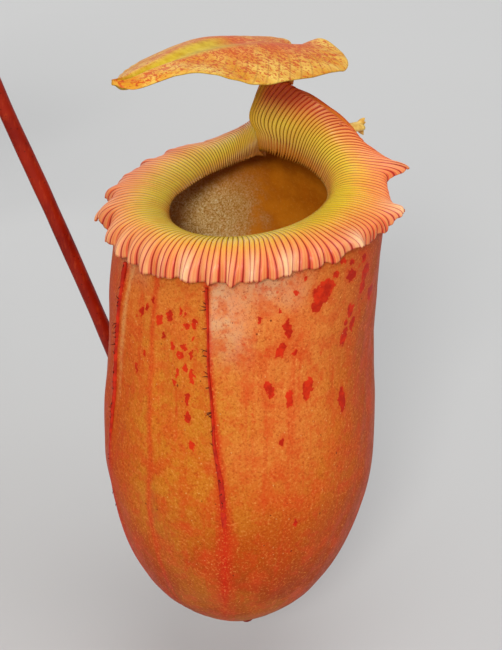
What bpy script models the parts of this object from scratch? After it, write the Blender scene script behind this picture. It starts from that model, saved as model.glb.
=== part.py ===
"""A potted pitcher plant: a clay pot of growing medium, a short stem with strap leaves, a
tendril on the tip of every leaf, and one full-grown pitcher hanging beside the pot.

The pot stands on z = 0 and is centred on the origin. The pitcher hangs on the +X side.
"""

import math

import bmesh
import bpy
import numpy as np

MM = 0.001

# Clay pot, in mm.
POT_HEIGHT = 142.0
POT_FOOT_R = 56.0
POT_NECK_R = 76.0
POT_RIM_R = 84.0
POT_RIM_DEPTH = 30.0
POT_WALL = 6.0
POT_FLOOR = 8.0
DRAIN_R = 5.0
DRAIN_RING_R = 30.0

# Growing medium, in mm.
FIT_GAP = 0.4
MEDIUM_TOP = 127.0
MEDIUM_MOUND = 5.0

# Stem, in mm.
STEM_FOOT_Z = 92.0
STEM_TOP_Z = 214.0
STEM_R = 6.5
STEM_TIP_R = 4.5

# Leaves, in mm.
LEAF_THICK = 1.0
LEAF_HALF_WIDTH = ((0.0, 5.0), (0.07, 6.0), (0.18, 13.0), (0.32, 22.0), (0.48, 26.0),
                   (0.64, 25.5), (0.79, 19.5), (0.91, 10.0), (1.0, 2.2))
LEAF_FOLD = math.radians(13)
LEAF_WAVE = 1.6

# One row per leaf: azimuth in degrees, height of the joint, length scale, and the shape of
# the midrib as (distance out, rise) pairs.
OLD = ((0, 0), (28, 16), (85, 33), (150, 27), (206, -4))
FULL = ((0, 0), (24, 26), (78, 66), (145, 84), (208, 68))
YOUNG = ((0, 0), (18, 34), (56, 84), (102, 116), (146, 126))
HERO = ((0, 0), (20, 34), (66, 86), (122, 113), (174, 106))
LEAVES = (
    ("leaf_1", 160.0, 143.0, 1.00, OLD),
    ("leaf_2", -62.5, 152.0, 0.98, OLD),
    ("leaf_3", 75.0, 161.0, 1.02, FULL),
    ("leaf_4", -147.5, 170.0, 1.04, FULL),
    ("leaf_5", -10.0, 179.0, 1.00, HERO),
    ("leaf_6", 127.5, 188.0, 0.98, FULL),
    ("leaf_7", -95.0, 197.0, 1.00, YOUNG),
    ("leaf_8", 42.5, 205.0, 0.92, YOUNG),
)
HERO_LEAF = "leaf_5"

# Tendrils of the other leaves, as (distance out, rise) from the leaf tip, in mm.
TENDRIL_R = 1.5
TENDRIL_HANG = ((0, 0), (14, -9), (24, -30), (26, -58), (20, -80), (9, -89), (2, -82), (1, -68))
TENDRIL_THICK = (1.0, 1.0, 1.0, 1.0, 1.05, 1.3, 2.0, 1.2)

# Pitcher, in mm, in its own frame: its front faces -Y and its base hangs at z = 0.
PITCHER_AT = (300.0, -60.0, 25.0)
PITCHER_TURN = math.radians(-40)
CUP_BASE_Z = 6.0
CUP_SHOULDER_Z = 70.0
CUP_R = 45.4
CUP_STRAIGHT_Z = 126.0
CUP_FLAT_FRONT = 0.07
CUP_SWELL = ((6, 0), (18, 0), (27, -0.8), (48, -0.8), (58, -0.1), (70, 0.8), (88, 0.7), (97, 0),
             (114, -0.7), (126, -0.4))
CUP_LEAN = ((0, -1.2), (18, -1.0), (27, -0.65), (44, -0.25), (80, -0.1), (97, 0), (114, -0.65),
            (126, -0.5))
CUP_SHIFT = ((0, -3.9), (27, -2.6), (60, -1.1), (100, 0.1), (114, 0.9), (123, 1.7), (140, 3.6))
CUP_WALL = 1.8
RIM_THICK = 1.5
RIM_SEAT = 0.6
# Places across the rim run from 0, its inner edge, to 1, its outer edge; places round it run
# from 0, the front, to 1, the top of the neck.
RIM_CREST_PLACE = 0.45
RIM_SEAT_PLACE = 0.70
NECK_SEAT_PLACE = 0.16
NECK_SEAT = 1.9
NECK_FROM = 0.55
NECK_OVER = 0.3
RIM_INNER = ((0, -21.5, 151), (9.5, -20, 151.8), (17.5, -15.5, 153.5), (23.5, -7, 155.3),
             (25.3, 3, 156.7), (25, 12, 158.5), (22.6, 18.6, 160.3), (17.8, 22.2, 163.4),
             (11.5, 22, 167.3), (7, 20.2, 170), (3.2, 17.6, 172), (0, 16.3, 173))
RIM_CREST = ((0, -31, 155.5), (13.5, -28.5, 156), (25.5, -21, 157.2), (34, -9.5, 158.8),
             (37.5, 4, 160.3), (36, 15.5, 162.8), (31, 23.5, 166.3), (25, 27.5, 171.5),
             (18, 27, 178.3), (12, 24.5, 184.5), (6, 21.8, 188.5), (0, 20.5, 190))
RIM_OUTER = ((0, -42, 144), (19, -38, 145), (34.5, -30, 147), (47.5, -14.5, 150.5),
             (53, 4, 154.3), (51, 18, 157), (44.5, 28.5, 161.5), (36.5, 35, 167.5),
             (27, 36, 176), (18.5, 31.5, 185.5), (10.5, 26.5, 192.5), (0, 24, 196.5))
# The neck leans to the left: (place across the rim, then the lean along x, y and z).
NECK_LEAN = ((0, -2.4, -2.0, 2.2), (0.2, -6.3, -5.3, 0.8), (0.45, -5.8, -4.8, 0),
             (0.75, -4.5, -3.8, 0), (1, -3.5, -2.5, 0))
NECK_LEAN_FROM_LEFT = 0.80
NECK_LEAN_FROM_RIGHT = 0.74
# Beside the neck the left half of the rim lies lower: (place round the rim, drop).
LEFT_DROP = ((0, 0), (0.5, 0), (0.545, 1.6), (0.636, 3.0), (0.727, 5.0), (0.818, 4.5),
             (0.909, 2.5), (1, 0))
LID_THICK = 1.2
LID_MIDLINE = ((0, 26, 199.2), (0, 25.3, 202.6), (0, 22, 206), (0, 13, 209.2), (0, 3, 211.6),
               (0, -9, 213.6), (0, -22, 214.4), (0, -34, 213), (0, -45, 211.6),
               (0, -53, 210.6), (0, -58.5, 211))
LID_RIGHT = ((1.5, 27.6, 200.4), (4, 35.5, 206.2), (16.5, 32.5, 204.3), (25, 24, 203), (26.5, 12, 203.8),
             (27, -5, 205.3), (25.8, -21, 207.3), (18.8, -33, 211.2), (12.5, -42.5, 212),
             (5.9, -53.7, 209.3), (0.3, -58.8, 210.8))
LID_LEFT = ((-1.5, 27.6, 200.4), (-5, 32, 204), (-13, 31, 203.8), (-21, 25, 203.8), (-26, 14, 205.5),
            (-28, 1.5, 206.3), (-23.5, -20, 205.5), (-16, -35.5, 206.5), (-9.5, -46.5, 208),
            (-4.5, -53.5, 209.6), (-0.3, -58.8, 210.8))
SPUR = ((0, 39.1, 166.6), (0.2, 47.5, 169.4), (0.5, 57, 170.6), (1, 65, 168.5))
SPUR_R = 1.6
SPUR_TAPER = (1, 1, 0.9, 0.8, 0.7, 0.6, 0.35)
WING_ANGLE = ((20, 36.0), (63, 35.0), (92, 29.5), (142, 24.0))
WING_FOOT_Z = 22.0
WING_TOP_Z = 137.0
WING_HEIGHT = ((0.0, 0.9), (0.45, 1.2), (0.6, 1.7), (0.9, 2.4), (1.0, 1.4))
WING_THICK = 1.0
WING_GAP = 0.6

# The hero tendril, in mm from the pitcher's axis, in the plant's own directions.
HERO_TENDRIL = ((-94, 26.5, 228), (-82, 28, 189.3), (-64.4, 31, 142.4), (-46.4, 35, 92),
                (-33, 39, 48), (-24, 38, 20), (-14, 28, 2), (-5, 13, -0.8), (2.5, 0.5, 0.9))
HERO_TENDRIL_R = 2.7


def clear_scene():
    for obj in list(bpy.data.objects):
        bpy.data.objects.remove(obj, do_unlink=True)
    for collection in list(bpy.data.collections):
        bpy.data.collections.remove(collection)


def new_collection(name):
    collection = bpy.data.collections.new(name)
    bpy.context.scene.collection.children.link(collection)
    return collection


def surface(name, colour, roughness):
    material = bpy.data.materials.new(name)
    material.use_nodes = True
    shader = material.node_tree.nodes["Principled BSDF"]
    shader.inputs["Base Color"].default_value = (*colour, 1.0)
    shader.inputs["Roughness"].default_value = roughness
    return material


def add_object(name, data, material, collection):
    obj = bpy.data.objects.new(name, data)
    collection.objects.link(obj)
    if material is not None:
        data.materials.append(material)
    return obj


def add_mesh(name, points, faces, material, collection):
    """A mesh object from points in mm."""
    mesh = bpy.data.meshes.new(name)
    mesh.from_pydata([tuple(MM * c for c in p) for p in points], [], [tuple(f) for f in faces])
    mesh.update()
    mesh.shade_smooth()
    mesh.set_sharp_from_angle(angle=math.radians(40))
    return add_object(name, mesh, material, collection)


def face_outwards(obj):
    build = bmesh.new()
    build.from_mesh(obj.data)
    bmesh.ops.recalc_face_normals(build, faces=build.faces)
    build.to_mesh(obj.data)
    build.free()


def thicken(obj, thickness):
    """Turns an open sheet into a closed wall on the inner side of its faces."""
    solidify = obj.modifiers.new("thickness", "SOLIDIFY")
    solidify.thickness = thickness * MM
    solidify.offset = -1.0
    solidify.use_even_offset = False
    solidify.use_rim = True


def cut(obj, cutter):
    boolean = obj.modifiers.new(cutter.name, "BOOLEAN")
    boolean.operation = "DIFFERENCE"
    boolean.object = cutter
    boolean.solver = "EXACT"


def make_cutter(obj, collection):
    obj.hide_render = True
    obj.display_type = "WIRE"
    for user in list(obj.users_collection):
        user.objects.unlink(obj)
    collection.objects.link(obj)


def curve_through(points, count):
    """Catmull-Rom curve through all but the first and last points, evenly spaced in parameter."""
    last = len(points) - 3
    out = []
    for place in np.linspace(0, last, count):
        i = min(int(place), last - 1)
        t = place - i
        a, b, c, d = points[i : i + 4]
        out.append(0.5 * (2 * b + (c - a) * t + (2 * a - 5 * b + 4 * c - d) * t**2
                          + (3 * b - a - 3 * c + d) * t**3))
    return np.array(out)


def spline(rows, count):
    points = np.array(rows, float)
    return curve_through(np.vstack([2 * points[0] - points[1], points, 2 * points[-1] - points[-2]]), count)


def mirrored_spline(rows, count):
    """As spline, for half of a loop that x = 0 mirrors, so that both ends cross it squarely."""
    flip = np.array([-1, 1, 1])
    points = np.array(rows, float)
    return curve_through(np.vstack([points[1] * flip, points, points[-2] * flip]), count)


def along(table, x):
    xs = [row[0] for row in table]
    ys = [row[1] for row in table]
    return float(np.interp(x, xs, ys))


def grid_faces(rows, columns, wrap=False):
    """Quads between rows of points, each row holding the same number of columns."""
    faces = []
    for r in range(rows - 1):
        for c in range(columns if wrap else columns - 1):
            n = (c + 1) % columns
            faces.append((r * columns + c, r * columns + n,
                          (r + 1) * columns + n, (r + 1) * columns + c))
    return faces


def revolve(name, profile, material, collection, steps=40):
    """Spins a closed (radius, z) outline in mm about the z axis."""
    mesh = bpy.data.meshes.new(name)
    build = bmesh.new()
    verts = [build.verts.new((r * MM, 0.0, z * MM)) for r, z in profile]
    for i, vert in enumerate(verts):
        if i + 1 < len(verts):
            build.edges.new((vert, verts[i + 1]))
    build.to_mesh(mesh)
    build.free()
    obj = add_object(name, mesh, material, collection)
    screw = obj.modifiers.new("revolve", "SCREW")
    screw.steps = steps
    screw.render_steps = steps
    screw.use_merge_vertices = True
    screw.merge_threshold = 0.00005
    screw.use_smooth_shade = True
    return obj


def tube(name, points, radii, material, collection, sides=2):
    """A round stem along a path in mm, with its ends closed."""
    curve = bpy.data.curves.new(name, "CURVE")
    curve.dimensions = "3D"
    curve.bevel_depth = MM
    curve.bevel_resolution = sides
    curve.use_fill_caps = True
    line = curve.splines.new("POLY")
    line.points.add(len(points) - 1)
    for point, place, radius in zip(line.points, points, radii):
        point.co = (*[MM * c for c in place], 1.0)
        point.radius = radius
    line.use_smooth = True
    return add_object(name, curve, material, collection)


def on_pitcher(points):
    """Pitcher's own frame to the plant's, in mm."""
    c, s = math.cos(PITCHER_TURN), math.sin(PITCHER_TURN)
    points = np.atleast_2d(points)
    x = points[:, 0] * c - points[:, 1] * s
    y = points[:, 0] * s + points[:, 1] * c
    return np.stack([x, y, points[:, 2]], 1) + np.array(PITCHER_AT)


# --- pot and medium -------------------------------------------------------------------------


def outer_radius(z):
    """Of the pot below its rim band."""
    return POT_FOOT_R + (POT_NECK_R - POT_FOOT_R) * z / (POT_HEIGHT - POT_RIM_DEPTH)


def build_pot(collection, cutters):
    clay = surface("terracotta", (0.56, 0.24, 0.12), 0.85)
    band = POT_HEIGHT - POT_RIM_DEPTH
    inner_top = outer_radius(band) - POT_WALL + 2.0
    profile = [
        (0, POT_FLOOR), (outer_radius(POT_FLOOR) - POT_WALL - 2, POT_FLOOR),
        (outer_radius(POT_FLOOR) - POT_WALL, POT_FLOOR + 2),
        (outer_radius(band) - POT_WALL, band), (inner_top, POT_HEIGHT - 2),
        (inner_top + 1.5, POT_HEIGHT), (POT_RIM_R - 2, POT_HEIGHT), (POT_RIM_R, POT_HEIGHT - 2),
        (POT_RIM_R - 1.5, band + 1.5), (POT_RIM_R - 3, band), (outer_radius(band), band - 1),
        (outer_radius(2), 2), (POT_FOOT_R - 2, 0), (0, 0),
    ]
    pot = revolve("pot", profile, clay, collection)
    for k in range(4):
        turn = math.radians(45 + 90 * k)
        cutter = disc(f"drain_hole_{k + 1}", DRAIN_R, -4, POT_FLOOR + 4)
        cutter.location = (DRAIN_RING_R * MM * math.cos(turn), DRAIN_RING_R * MM * math.sin(turn), 0)
        make_cutter(cutter, cutters)
        cut(pot, cutter)


def disc(name, radius, low, high, sides=16):
    """A plain upright cylinder, in mm."""
    ring = [(radius * math.cos(2 * math.pi * k / sides), radius * math.sin(2 * math.pi * k / sides))
            for k in range(sides)]
    points = [(x, y, low) for x, y in ring] + [(x, y, high) for x, y in ring]
    faces = [(k, (k + 1) % sides, sides + (k + 1) % sides, sides + k) for k in range(sides)]
    faces += [tuple(reversed(range(sides))), tuple(range(sides, 2 * sides))]
    return add_mesh(name, points, faces, None, bpy.context.scene.collection)


def build_medium(collection):
    earth = surface("growing_medium", (0.10, 0.06, 0.035), 0.95)
    band = POT_HEIGHT - POT_RIM_DEPTH
    low = POT_FLOOR + FIT_GAP
    wall_top = outer_radius(band) - POT_WALL + (MEDIUM_TOP - band) * 2.0 / (POT_RIM_DEPTH - 2)
    bore = STEM_R + FIT_GAP
    profile = [
        (0, STEM_FOOT_Z - FIT_GAP), (bore, STEM_FOOT_Z - FIT_GAP), (bore, MEDIUM_TOP + MEDIUM_MOUND),
        (26, MEDIUM_TOP + MEDIUM_MOUND - 0.6), (50, MEDIUM_TOP + 2.2), (66, MEDIUM_TOP + 0.3),
        (wall_top - FIT_GAP, MEDIUM_TOP - 1.5), (outer_radius(band) - POT_WALL - FIT_GAP, band),
        (outer_radius(POT_FLOOR) - POT_WALL - FIT_GAP, POT_FLOOR + 2 + FIT_GAP),
        (outer_radius(POT_FLOOR) - POT_WALL - 2 - FIT_GAP, low), (0, low),
    ]
    revolve("growing_medium", profile, earth, collection)


# --- stem and leaves ------------------------------------------------------------------------


def build_stem(collection):
    bark = surface("stem_bark", (0.20, 0.22, 0.07), 0.7)
    rise = STEM_TOP_Z - STEM_FOOT_Z
    points = [(0, 0, STEM_FOOT_Z), (0, 0, STEM_FOOT_Z + 0.33 * rise), (0, 0, STEM_FOOT_Z + 0.5 * rise),
              (0, 0, STEM_FOOT_Z + 0.75 * rise), (0, 0, STEM_TOP_Z)]
    radii = [STEM_R, STEM_R, STEM_R - 0.4, STEM_TIP_R + 0.8, STEM_TIP_R]
    tube("stem", points, radii, bark, collection, sides=3)


def build_growing_tip(collection):
    """The newest leaf, still rolled up."""
    green = surface("young_green", (0.28, 0.36, 0.07), 0.5)
    foot = STEM_TOP_Z + FIT_GAP
    points = [(0, 0, foot), (0.5, 0.3, foot + 14), (1.6, 1.0, foot + 32), (3.6, 2.2, foot + 50),
              (6.5, 3.8, foot + 66)]
    tube("growing_tip", points, [3.4, 3.9, 3.2, 2.0, 0.7], green, collection, sides=2)


def leaf_midrib(azimuth, height, scale, shape, count):
    """Points of the midrib and the level direction across it."""
    a = math.radians(azimuth)
    out = np.array([math.cos(a), math.sin(a), 0.0])
    start = STEM_R + FIT_GAP + 0.5
    path = spline([(start + scale * r, scale * h) for r, h in shape], count)
    points = out * path[:, :1] + np.array([0, 0, 1.0]) * (height + path[:, 1:])
    return points, np.array([-math.sin(a), math.cos(a), 0.0]), out


def leaf_sheet(azimuth, height, scale, shape, rows, columns):
    """Points of the blade's upper face, row by row from the stem to the tip."""
    middle, across, _ = leaf_midrib(azimuth, height, scale, shape, rows)
    points = []
    for r, centre in enumerate(middle):
        t = r / (rows - 1)
        half = along(LEAF_HALF_WIDTH, t) * (0.75 + 0.25 * scale)
        for c in range(columns):
            w = 2.0 * c / (columns - 1) - 1.0
            lift = abs(w) * half * math.tan(LEAF_FOLD) - 1.8 * w * w * half / 26
            bell = min(1, 6 * t * (1 - t))
            wave = LEAF_WAVE * abs(w) ** 2 * math.sin(21 * t + 1.9 * w + azimuth) * bell
            points.append(centre + across * w * half + np.array([0, 0, lift + wave]))
    return points


def build_leaf(row, material, collection):
    name, azimuth, height, scale, shape = row
    rows, columns = 13, 5
    points = leaf_sheet(azimuth, height, scale, shape, rows, columns)
    leaf = add_mesh(name, points, grid_faces(rows, columns), material, collection)
    leaf.data.flip_normals()
    thicken(leaf, LEAF_THICK)


def leaf_end(row):
    """Tip of the leaf's midrib and its outward direction."""
    _, azimuth, height, scale, shape = row
    middle, _, out = leaf_midrib(azimuth, height, scale, shape, 40)
    step = middle[-1] - middle[-2]
    return middle[-1], step / np.linalg.norm(step), out


def build_tendril(row, index, material, collection):
    """The midrib's free end, with an undeveloped pitcher bud at its own tip."""
    tip, direction, out = leaf_end(row)
    start = tip + direction * (FIT_GAP + 0.6) - np.array([0, 0, 0.5])
    reach = spline(TENDRIL_HANG, 20)
    thick = spline([(k, t) for k, t in enumerate(TENDRIL_THICK)], 20)[:, 1]
    points = [start + out * r + np.array([0, 0, h]) for r, h in reach]
    side = np.cross(out, (0, 0, 1))
    points = [p + side * 6 * math.sin(0.25 * k) for k, p in enumerate(points)]
    tube(f"tendril_{index}", points, TENDRIL_R * thick, material, collection, sides=1)


def build_hero_tendril(row, index, material, collection):
    tip, direction, _ = leaf_end(row)
    start = tip + direction * (FIT_GAP + 0.8) - np.array([0, 0, 0.6])
    base = np.array(PITCHER_AT)
    way = [start, start + direction * 9 - np.array([0, 0, 2.0])]
    way += [np.array(p) + base for p in HERO_TENDRIL]
    points = spline(way, 34)
    radii = [HERO_TENDRIL_R * (0.72 + 0.28 * min(1, k / 6)) for k in range(len(points))]
    tube(f"tendril_{index}", points, radii, material, collection, sides=2)


# --- pitcher --------------------------------------------------------------------------------


def section(inner, crest, outer, upright, count):
    """Points across the rim from its inner edge over the crest to its outer edge.

    upright runs from 0, where the rim rolls over the mouth, to 1, where it fans up the neck.
    """
    level, rise = np.array([1, 1, 0]), np.array([0, 0, 1])
    points = []
    for u in np.linspace(0, 1, count):
        if u < RIM_CREST_PLACE:
            a = u / RIM_CREST_PLACE * math.pi / 2
            rolled = (inner + (crest - inner) * level * (1 - math.cos(a))
                      + (crest - inner) * rise * math.sin(a))
        else:
            a = (u - RIM_CREST_PLACE) / (1 - RIM_CREST_PLACE) * math.pi / 2
            rolled = (crest + (outer - crest) * level * math.sin(a)
                      + (outer - crest) * rise * (1 - math.cos(a)))
        bend = 2 * crest - (inner + outer) / 2
        fanned = (1 - u) ** 2 * inner + 2 * u * (1 - u) * bend + u * u * outer
        points.append((1 - upright) * rolled + upright * fanned)
    return np.array(points)


def ease(t):
    t = min(1, max(0, t))
    return t * t * (3 - 2 * t)


def uprightness(s):
    """0 where the rim rolls over the mouth, 1 where it stands up as the neck."""
    return ease((s - NECK_FROM) / NECK_OVER)


def leaned(points, s, left):
    """A section of the rim with the neck's lean and, on the left, the drop beside the neck."""
    across = np.linspace(0, 1, len(points))
    places, *leans = zip(*NECK_LEAN)
    lean = [np.interp(across, places, values) for values in leans]
    start = NECK_LEAN_FROM_LEFT if left else NECK_LEAN_FROM_RIGHT
    amount = ease((s - start) / (1 - start))
    points = points + amount * np.array(lean).T
    if left:
        points[:, 2] -= along(LEFT_DROP, s) * np.array([ease(u / 0.8) for u in across])
    return points


def rim_grid(half_count, across):
    """Rim points as [place around][place across], all round from the front."""
    curves = [mirrored_spline(rows, half_count + 1) for rows in (RIM_INNER, RIM_CREST, RIM_OUTER)]
    flip = np.array([-1, 1, 1])
    right, left = [], []
    for k in range(half_count + 1):
        s = k / half_count
        points = section(*[c[k] for c in curves], uprightness(s), across)
        right.append(leaned(points, s, False))
        left.append(leaned(points * flip, s, True))
    return np.array(right + left[-2:0:-1])


def cup_shift(z):
    """How far the cup's middle lies from the pitcher's axis at this height, along x and y."""
    return np.array([along(CUP_LEAN, z), along(CUP_SHIFT, z)])


def cup_point(angle, z):
    """On the cup's outer face below the shoulder of the rim; the angle is 0 at the front."""
    t = max(0.0, (CUP_SHOULDER_Z - z) / (CUP_SHOULDER_Z - CUP_BASE_Z))
    radius = CUP_R * math.sqrt(max(0.0, 1 - t**2.15)) + along(CUP_SWELL, z)
    turn = (angle + math.pi) % (2 * math.pi) - math.pi
    radius *= 1 - CUP_FLAT_FRONT * math.exp(-((turn / math.radians(32)) ** 2))
    x, y = cup_shift(z)
    return np.array([radius * math.sin(angle) + x, -radius * math.cos(angle) + y, z])


def cup_seat(half_count):
    """The cup's top edge, under the rim, with the direction in which the wall meets it."""
    grid = rim_grid(half_count, 41)
    total = len(grid)
    seats = []
    for k in range(total):
        s = k / half_count if k <= half_count else (total - k) / half_count
        upright = uprightness(s)
        at = int(round(40 * (RIM_SEAT_PLACE + NECK_SEAT_PLACE * upright)))
        here = grid[k][at]
        over = grid[k][at + 1] - grid[k][at - 1]
        along_rim = grid[(k + 1) % total][at] - grid[k - 1][at]
        normal = np.cross(along_rim, over)
        normal /= np.linalg.norm(normal)
        if normal[2] < 0 and upright < 0.5:
            normal = -normal
        if upright >= 0.5 and normal[1] > 0:
            normal = -normal
        seat = here - normal * (RIM_THICK + RIM_SEAT + NECK_SEAT * upright)
        lean = np.array([-0.55 * here[0] / 45, -0.62, 0]) * upright
        meet = np.array([0, 0, 1.0]) + lean
        seats.append((seat, meet / np.linalg.norm(meet)))
    return seats


def cup_rings(half_count, low_rings, high_rings):
    """The cup's outer face: rings of points from just above the base to the top edge."""
    seats = cup_seat(half_count)
    x, y = cup_shift(CUP_STRAIGHT_Z)
    angles = [math.atan2(p[0] - x, -(p[1] - y)) for p, _ in seats]
    rings = []
    for k in range(1, low_rings + 1):
        f = k / low_rings
        z = CUP_BASE_Z + (CUP_STRAIGHT_Z - CUP_BASE_Z) * f**1.7
        rings.append([cup_point(a, z) for a in angles])
    for k in range(1, high_rings + 1):
        t = k / high_rings
        ring = []
        for angle, (seat, meet) in zip(angles, seats):
            start = cup_point(angle, CUP_STRAIGHT_Z)
            reach = 0.36 * np.linalg.norm(seat - start)
            one = start + np.array([0, 0.1, 1.0]) * reach
            two = seat - meet * reach
            ring.append((1 - t) ** 3 * start + 3 * t * (1 - t) ** 2 * one
                        + 3 * t * t * (1 - t) * two + t**3 * seat)
        rings.append(ring)
    return rings


def build_cup(collection):
    flesh = surface("pitcher_wall", (0.72, 0.22, 0.05), 0.55)
    rings = cup_rings(20, 9, 5)
    around = len(rings[0])
    points = [on_pitcher(p)[0] for ring in rings for p in ring]
    faces = grid_faces(len(rings), around, wrap=True)
    base = len(points)
    points.append(on_pitcher((*cup_shift(CUP_BASE_Z), CUP_BASE_Z))[0])
    faces += [(base, (k + 1) % around, k) for k in range(around)]
    cup = add_mesh("pitcher_cup", points, faces, flesh, collection)
    thicken(cup, CUP_WALL)


def build_rim(collection):
    ribbed = surface("pitcher_rim", (0.85, 0.40, 0.10), 0.35)
    across = 9
    grid = rim_grid(24, across)
    points = on_pitcher(grid.reshape(-1, 3))
    faces = grid_faces(len(grid), across)
    last = (len(grid) - 1) * across
    faces += [(last + c, last + c + 1, c + 1, c) for c in range(across - 1)]
    rim = add_mesh("peristome", points, faces, ribbed, collection)
    rim.data.flip_normals()
    thicken(rim, RIM_THICK)


def lid_grid(rows, half_columns):
    """Lid points as [place along][place across]."""
    middle, right, left = (spline(r, rows) for r in (LID_MIDLINE, LID_RIGHT, LID_LEFT))
    grid = []
    for k in range(rows):
        row = []
        for c in range(-half_columns, half_columns + 1):
            w = abs(c) / half_columns
            edge = right[k] if c > 0 else left[k]
            point = middle[k] + (edge - middle[k]) * w
            point = point + np.array([0, 0, 5.0 * w * (1 - w) * min(1, 5 * k / rows)])
            row.append(point)
        grid.append(row)
    return np.array(grid)


def build_lid(collection):
    skin = surface("lid_skin", (0.80, 0.47, 0.11), 0.5)
    rows, half_columns = 14, 4
    grid = lid_grid(rows, half_columns)
    points = on_pitcher(grid.reshape(-1, 3))
    lid = add_mesh("lid", points, grid_faces(rows, 2 * half_columns + 1), skin, collection)
    lid.data.flip_normals()
    thicken(lid, LID_THICK)


def build_spur(collection):
    tip = surface("spur_tip", (0.78, 0.50, 0.12), 0.5)
    points = on_pitcher(spline(SPUR, len(SPUR_TAPER)))
    tube("spur", points, [SPUR_R * r for r in SPUR_TAPER], tip, collection, sides=1)


def build_wing(name, side, collection):
    """A low rib up the front of the cup, standing just clear of the wall."""
    red = surface(name + "_red", (0.45, 0.06, 0.03), 0.55)
    count = 15
    points = []
    for k in range(count):
        t = k / (count - 1)
        z = WING_FOOT_Z + (WING_TOP_Z - WING_FOOT_Z) * t
        turn = side * math.radians(along(WING_ANGLE, z))
        root = cup_point(turn, min(z, CUP_STRAIGHT_Z))
        root = root + np.array([0, 0.1, 1.0]) * max(0, z - CUP_STRAIGHT_Z)
        outward = np.array([math.sin(turn), -math.cos(turn), 0.0])
        sideways = np.array([math.cos(turn), math.sin(turn), 0.0])
        near = root + outward * WING_GAP
        far = root + outward * (WING_GAP + along(WING_HEIGHT, t))
        half = sideways * WING_THICK / 2
        points += [near - half, near + half, far + half, far - half]
    faces = grid_faces(count, 4, wrap=True)
    faces += [(3, 2, 1, 0), tuple(4 * (count - 1) + c for c in range(4))]
    face_outwards(add_mesh(name, on_pitcher(points), faces, red, collection))


def main():
    clear_scene()
    plant = new_collection("potted_pitcher_plant")
    cutters = new_collection("cutters")
    build_pot(plant, cutters)
    build_medium(plant)
    build_stem(plant)
    build_growing_tip(plant)
    blade = surface("leaf_green", (0.10, 0.20, 0.04), 0.42)
    whip = surface("tendril_red", (0.30, 0.07, 0.03), 0.5)
    for index, row in enumerate(LEAVES, 1):
        build_leaf(row, blade, plant)
        if row[0] == HERO_LEAF:
            build_hero_tendril(row, index, whip, plant)
        else:
            build_tendril(row, index, whip, plant)
    build_cup(plant)
    build_rim(plant)
    build_lid(plant)
    build_spur(plant)
    build_wing("wing_left", -1, plant)
    build_wing("wing_right", 1, plant)


main()
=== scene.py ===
"""Potted pitcher plant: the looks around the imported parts."""
import math

import bmesh
import bpy
import numpy as np
from mathutils import Euler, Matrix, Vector


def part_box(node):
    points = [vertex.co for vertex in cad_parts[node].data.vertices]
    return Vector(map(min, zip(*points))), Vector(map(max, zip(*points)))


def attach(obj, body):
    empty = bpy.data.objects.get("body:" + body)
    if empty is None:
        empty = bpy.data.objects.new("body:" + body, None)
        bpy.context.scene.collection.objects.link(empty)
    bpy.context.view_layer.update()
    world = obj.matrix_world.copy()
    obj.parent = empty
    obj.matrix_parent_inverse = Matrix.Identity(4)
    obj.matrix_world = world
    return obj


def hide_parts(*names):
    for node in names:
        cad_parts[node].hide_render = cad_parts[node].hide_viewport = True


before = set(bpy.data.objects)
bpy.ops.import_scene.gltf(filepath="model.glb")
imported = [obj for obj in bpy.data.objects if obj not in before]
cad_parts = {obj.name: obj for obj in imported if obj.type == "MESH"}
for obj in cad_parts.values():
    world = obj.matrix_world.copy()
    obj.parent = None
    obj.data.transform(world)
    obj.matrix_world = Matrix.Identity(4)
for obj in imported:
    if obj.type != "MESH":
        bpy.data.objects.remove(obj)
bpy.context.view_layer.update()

MM = 0.001
UP = np.array([0.0, 0.0, 1.0])
scene = bpy.context.scene

# ---------------------------------------------------------------- the plant's own dimensions, mm

POT_HEIGHT, POT_FOOT_R, POT_NECK_R, POT_RIM_R = 142.0, 56.0, 76.0, 84.0
POT_RIM_DEPTH, POT_WALL, POT_FLOOR = 30.0, 6.0, 8.0
MEDIUM_TOP = 127.0
STEM_TOP_Z, STEM_R, STEM_TIP_R = 214.0, 6.5, 4.5
LEAF_HALF_WIDTH = ((0.0, 5.0), (0.07, 6.0), (0.18, 13.0), (0.32, 22.0), (0.48, 26.0),
                   (0.64, 25.5), (0.79, 19.5), (0.91, 10.0), (1.0, 2.2))
LEAF_FOLD = math.radians(13)
OLD = ((0, 0), (28, 16), (85, 33), (150, 27), (206, -4))
FULL = ((0, 0), (24, 26), (78, 66), (145, 84), (208, 68))
YOUNG = ((0, 0), (18, 34), (56, 84), (102, 116), (146, 126))
HERO = ((0, 0), (20, 34), (66, 86), (122, 113), (174, 106))
LEAVES = (
    ("leaf_1", 160.0, 143.0, 1.00, OLD, 0.9),
    ("leaf_2", -62.5, 152.0, 0.98, OLD, 0.75),
    ("leaf_3", 75.0, 161.0, 1.02, FULL, 0.5),
    ("leaf_4", -147.5, 170.0, 1.04, FULL, 0.4),
    ("leaf_5", -10.0, 179.0, 1.00, HERO, 0.35),
    ("leaf_6", 127.5, 188.0, 0.98, FULL, 0.3),
    ("leaf_7", -95.0, 197.0, 1.00, YOUNG, 0.1),
    ("leaf_8", 42.5, 205.0, 0.92, YOUNG, 0.0),
)
TENDRIL_HANG = ((0, 0), (14, -9), (24, -30), (26, -58), (20, -80), (9, -89), (2, -82), (1, -68))
PITCHER_AT = np.array([300.0, -60.0, 25.0])
PITCHER_TURN = math.radians(-40)
CUP_BASE_Z, CUP_SHOULDER_Z, CUP_R, CUP_STRAIGHT_Z = 6.0, 70.0, 45.4, 126.0
CUP_SWELL = ((6, 0), (18, 0), (27, -0.8), (48, -0.8), (58, -0.1), (70, 0.8), (88, 0.7), (97, 0),
             (114, -0.7), (126, -0.4))
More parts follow.
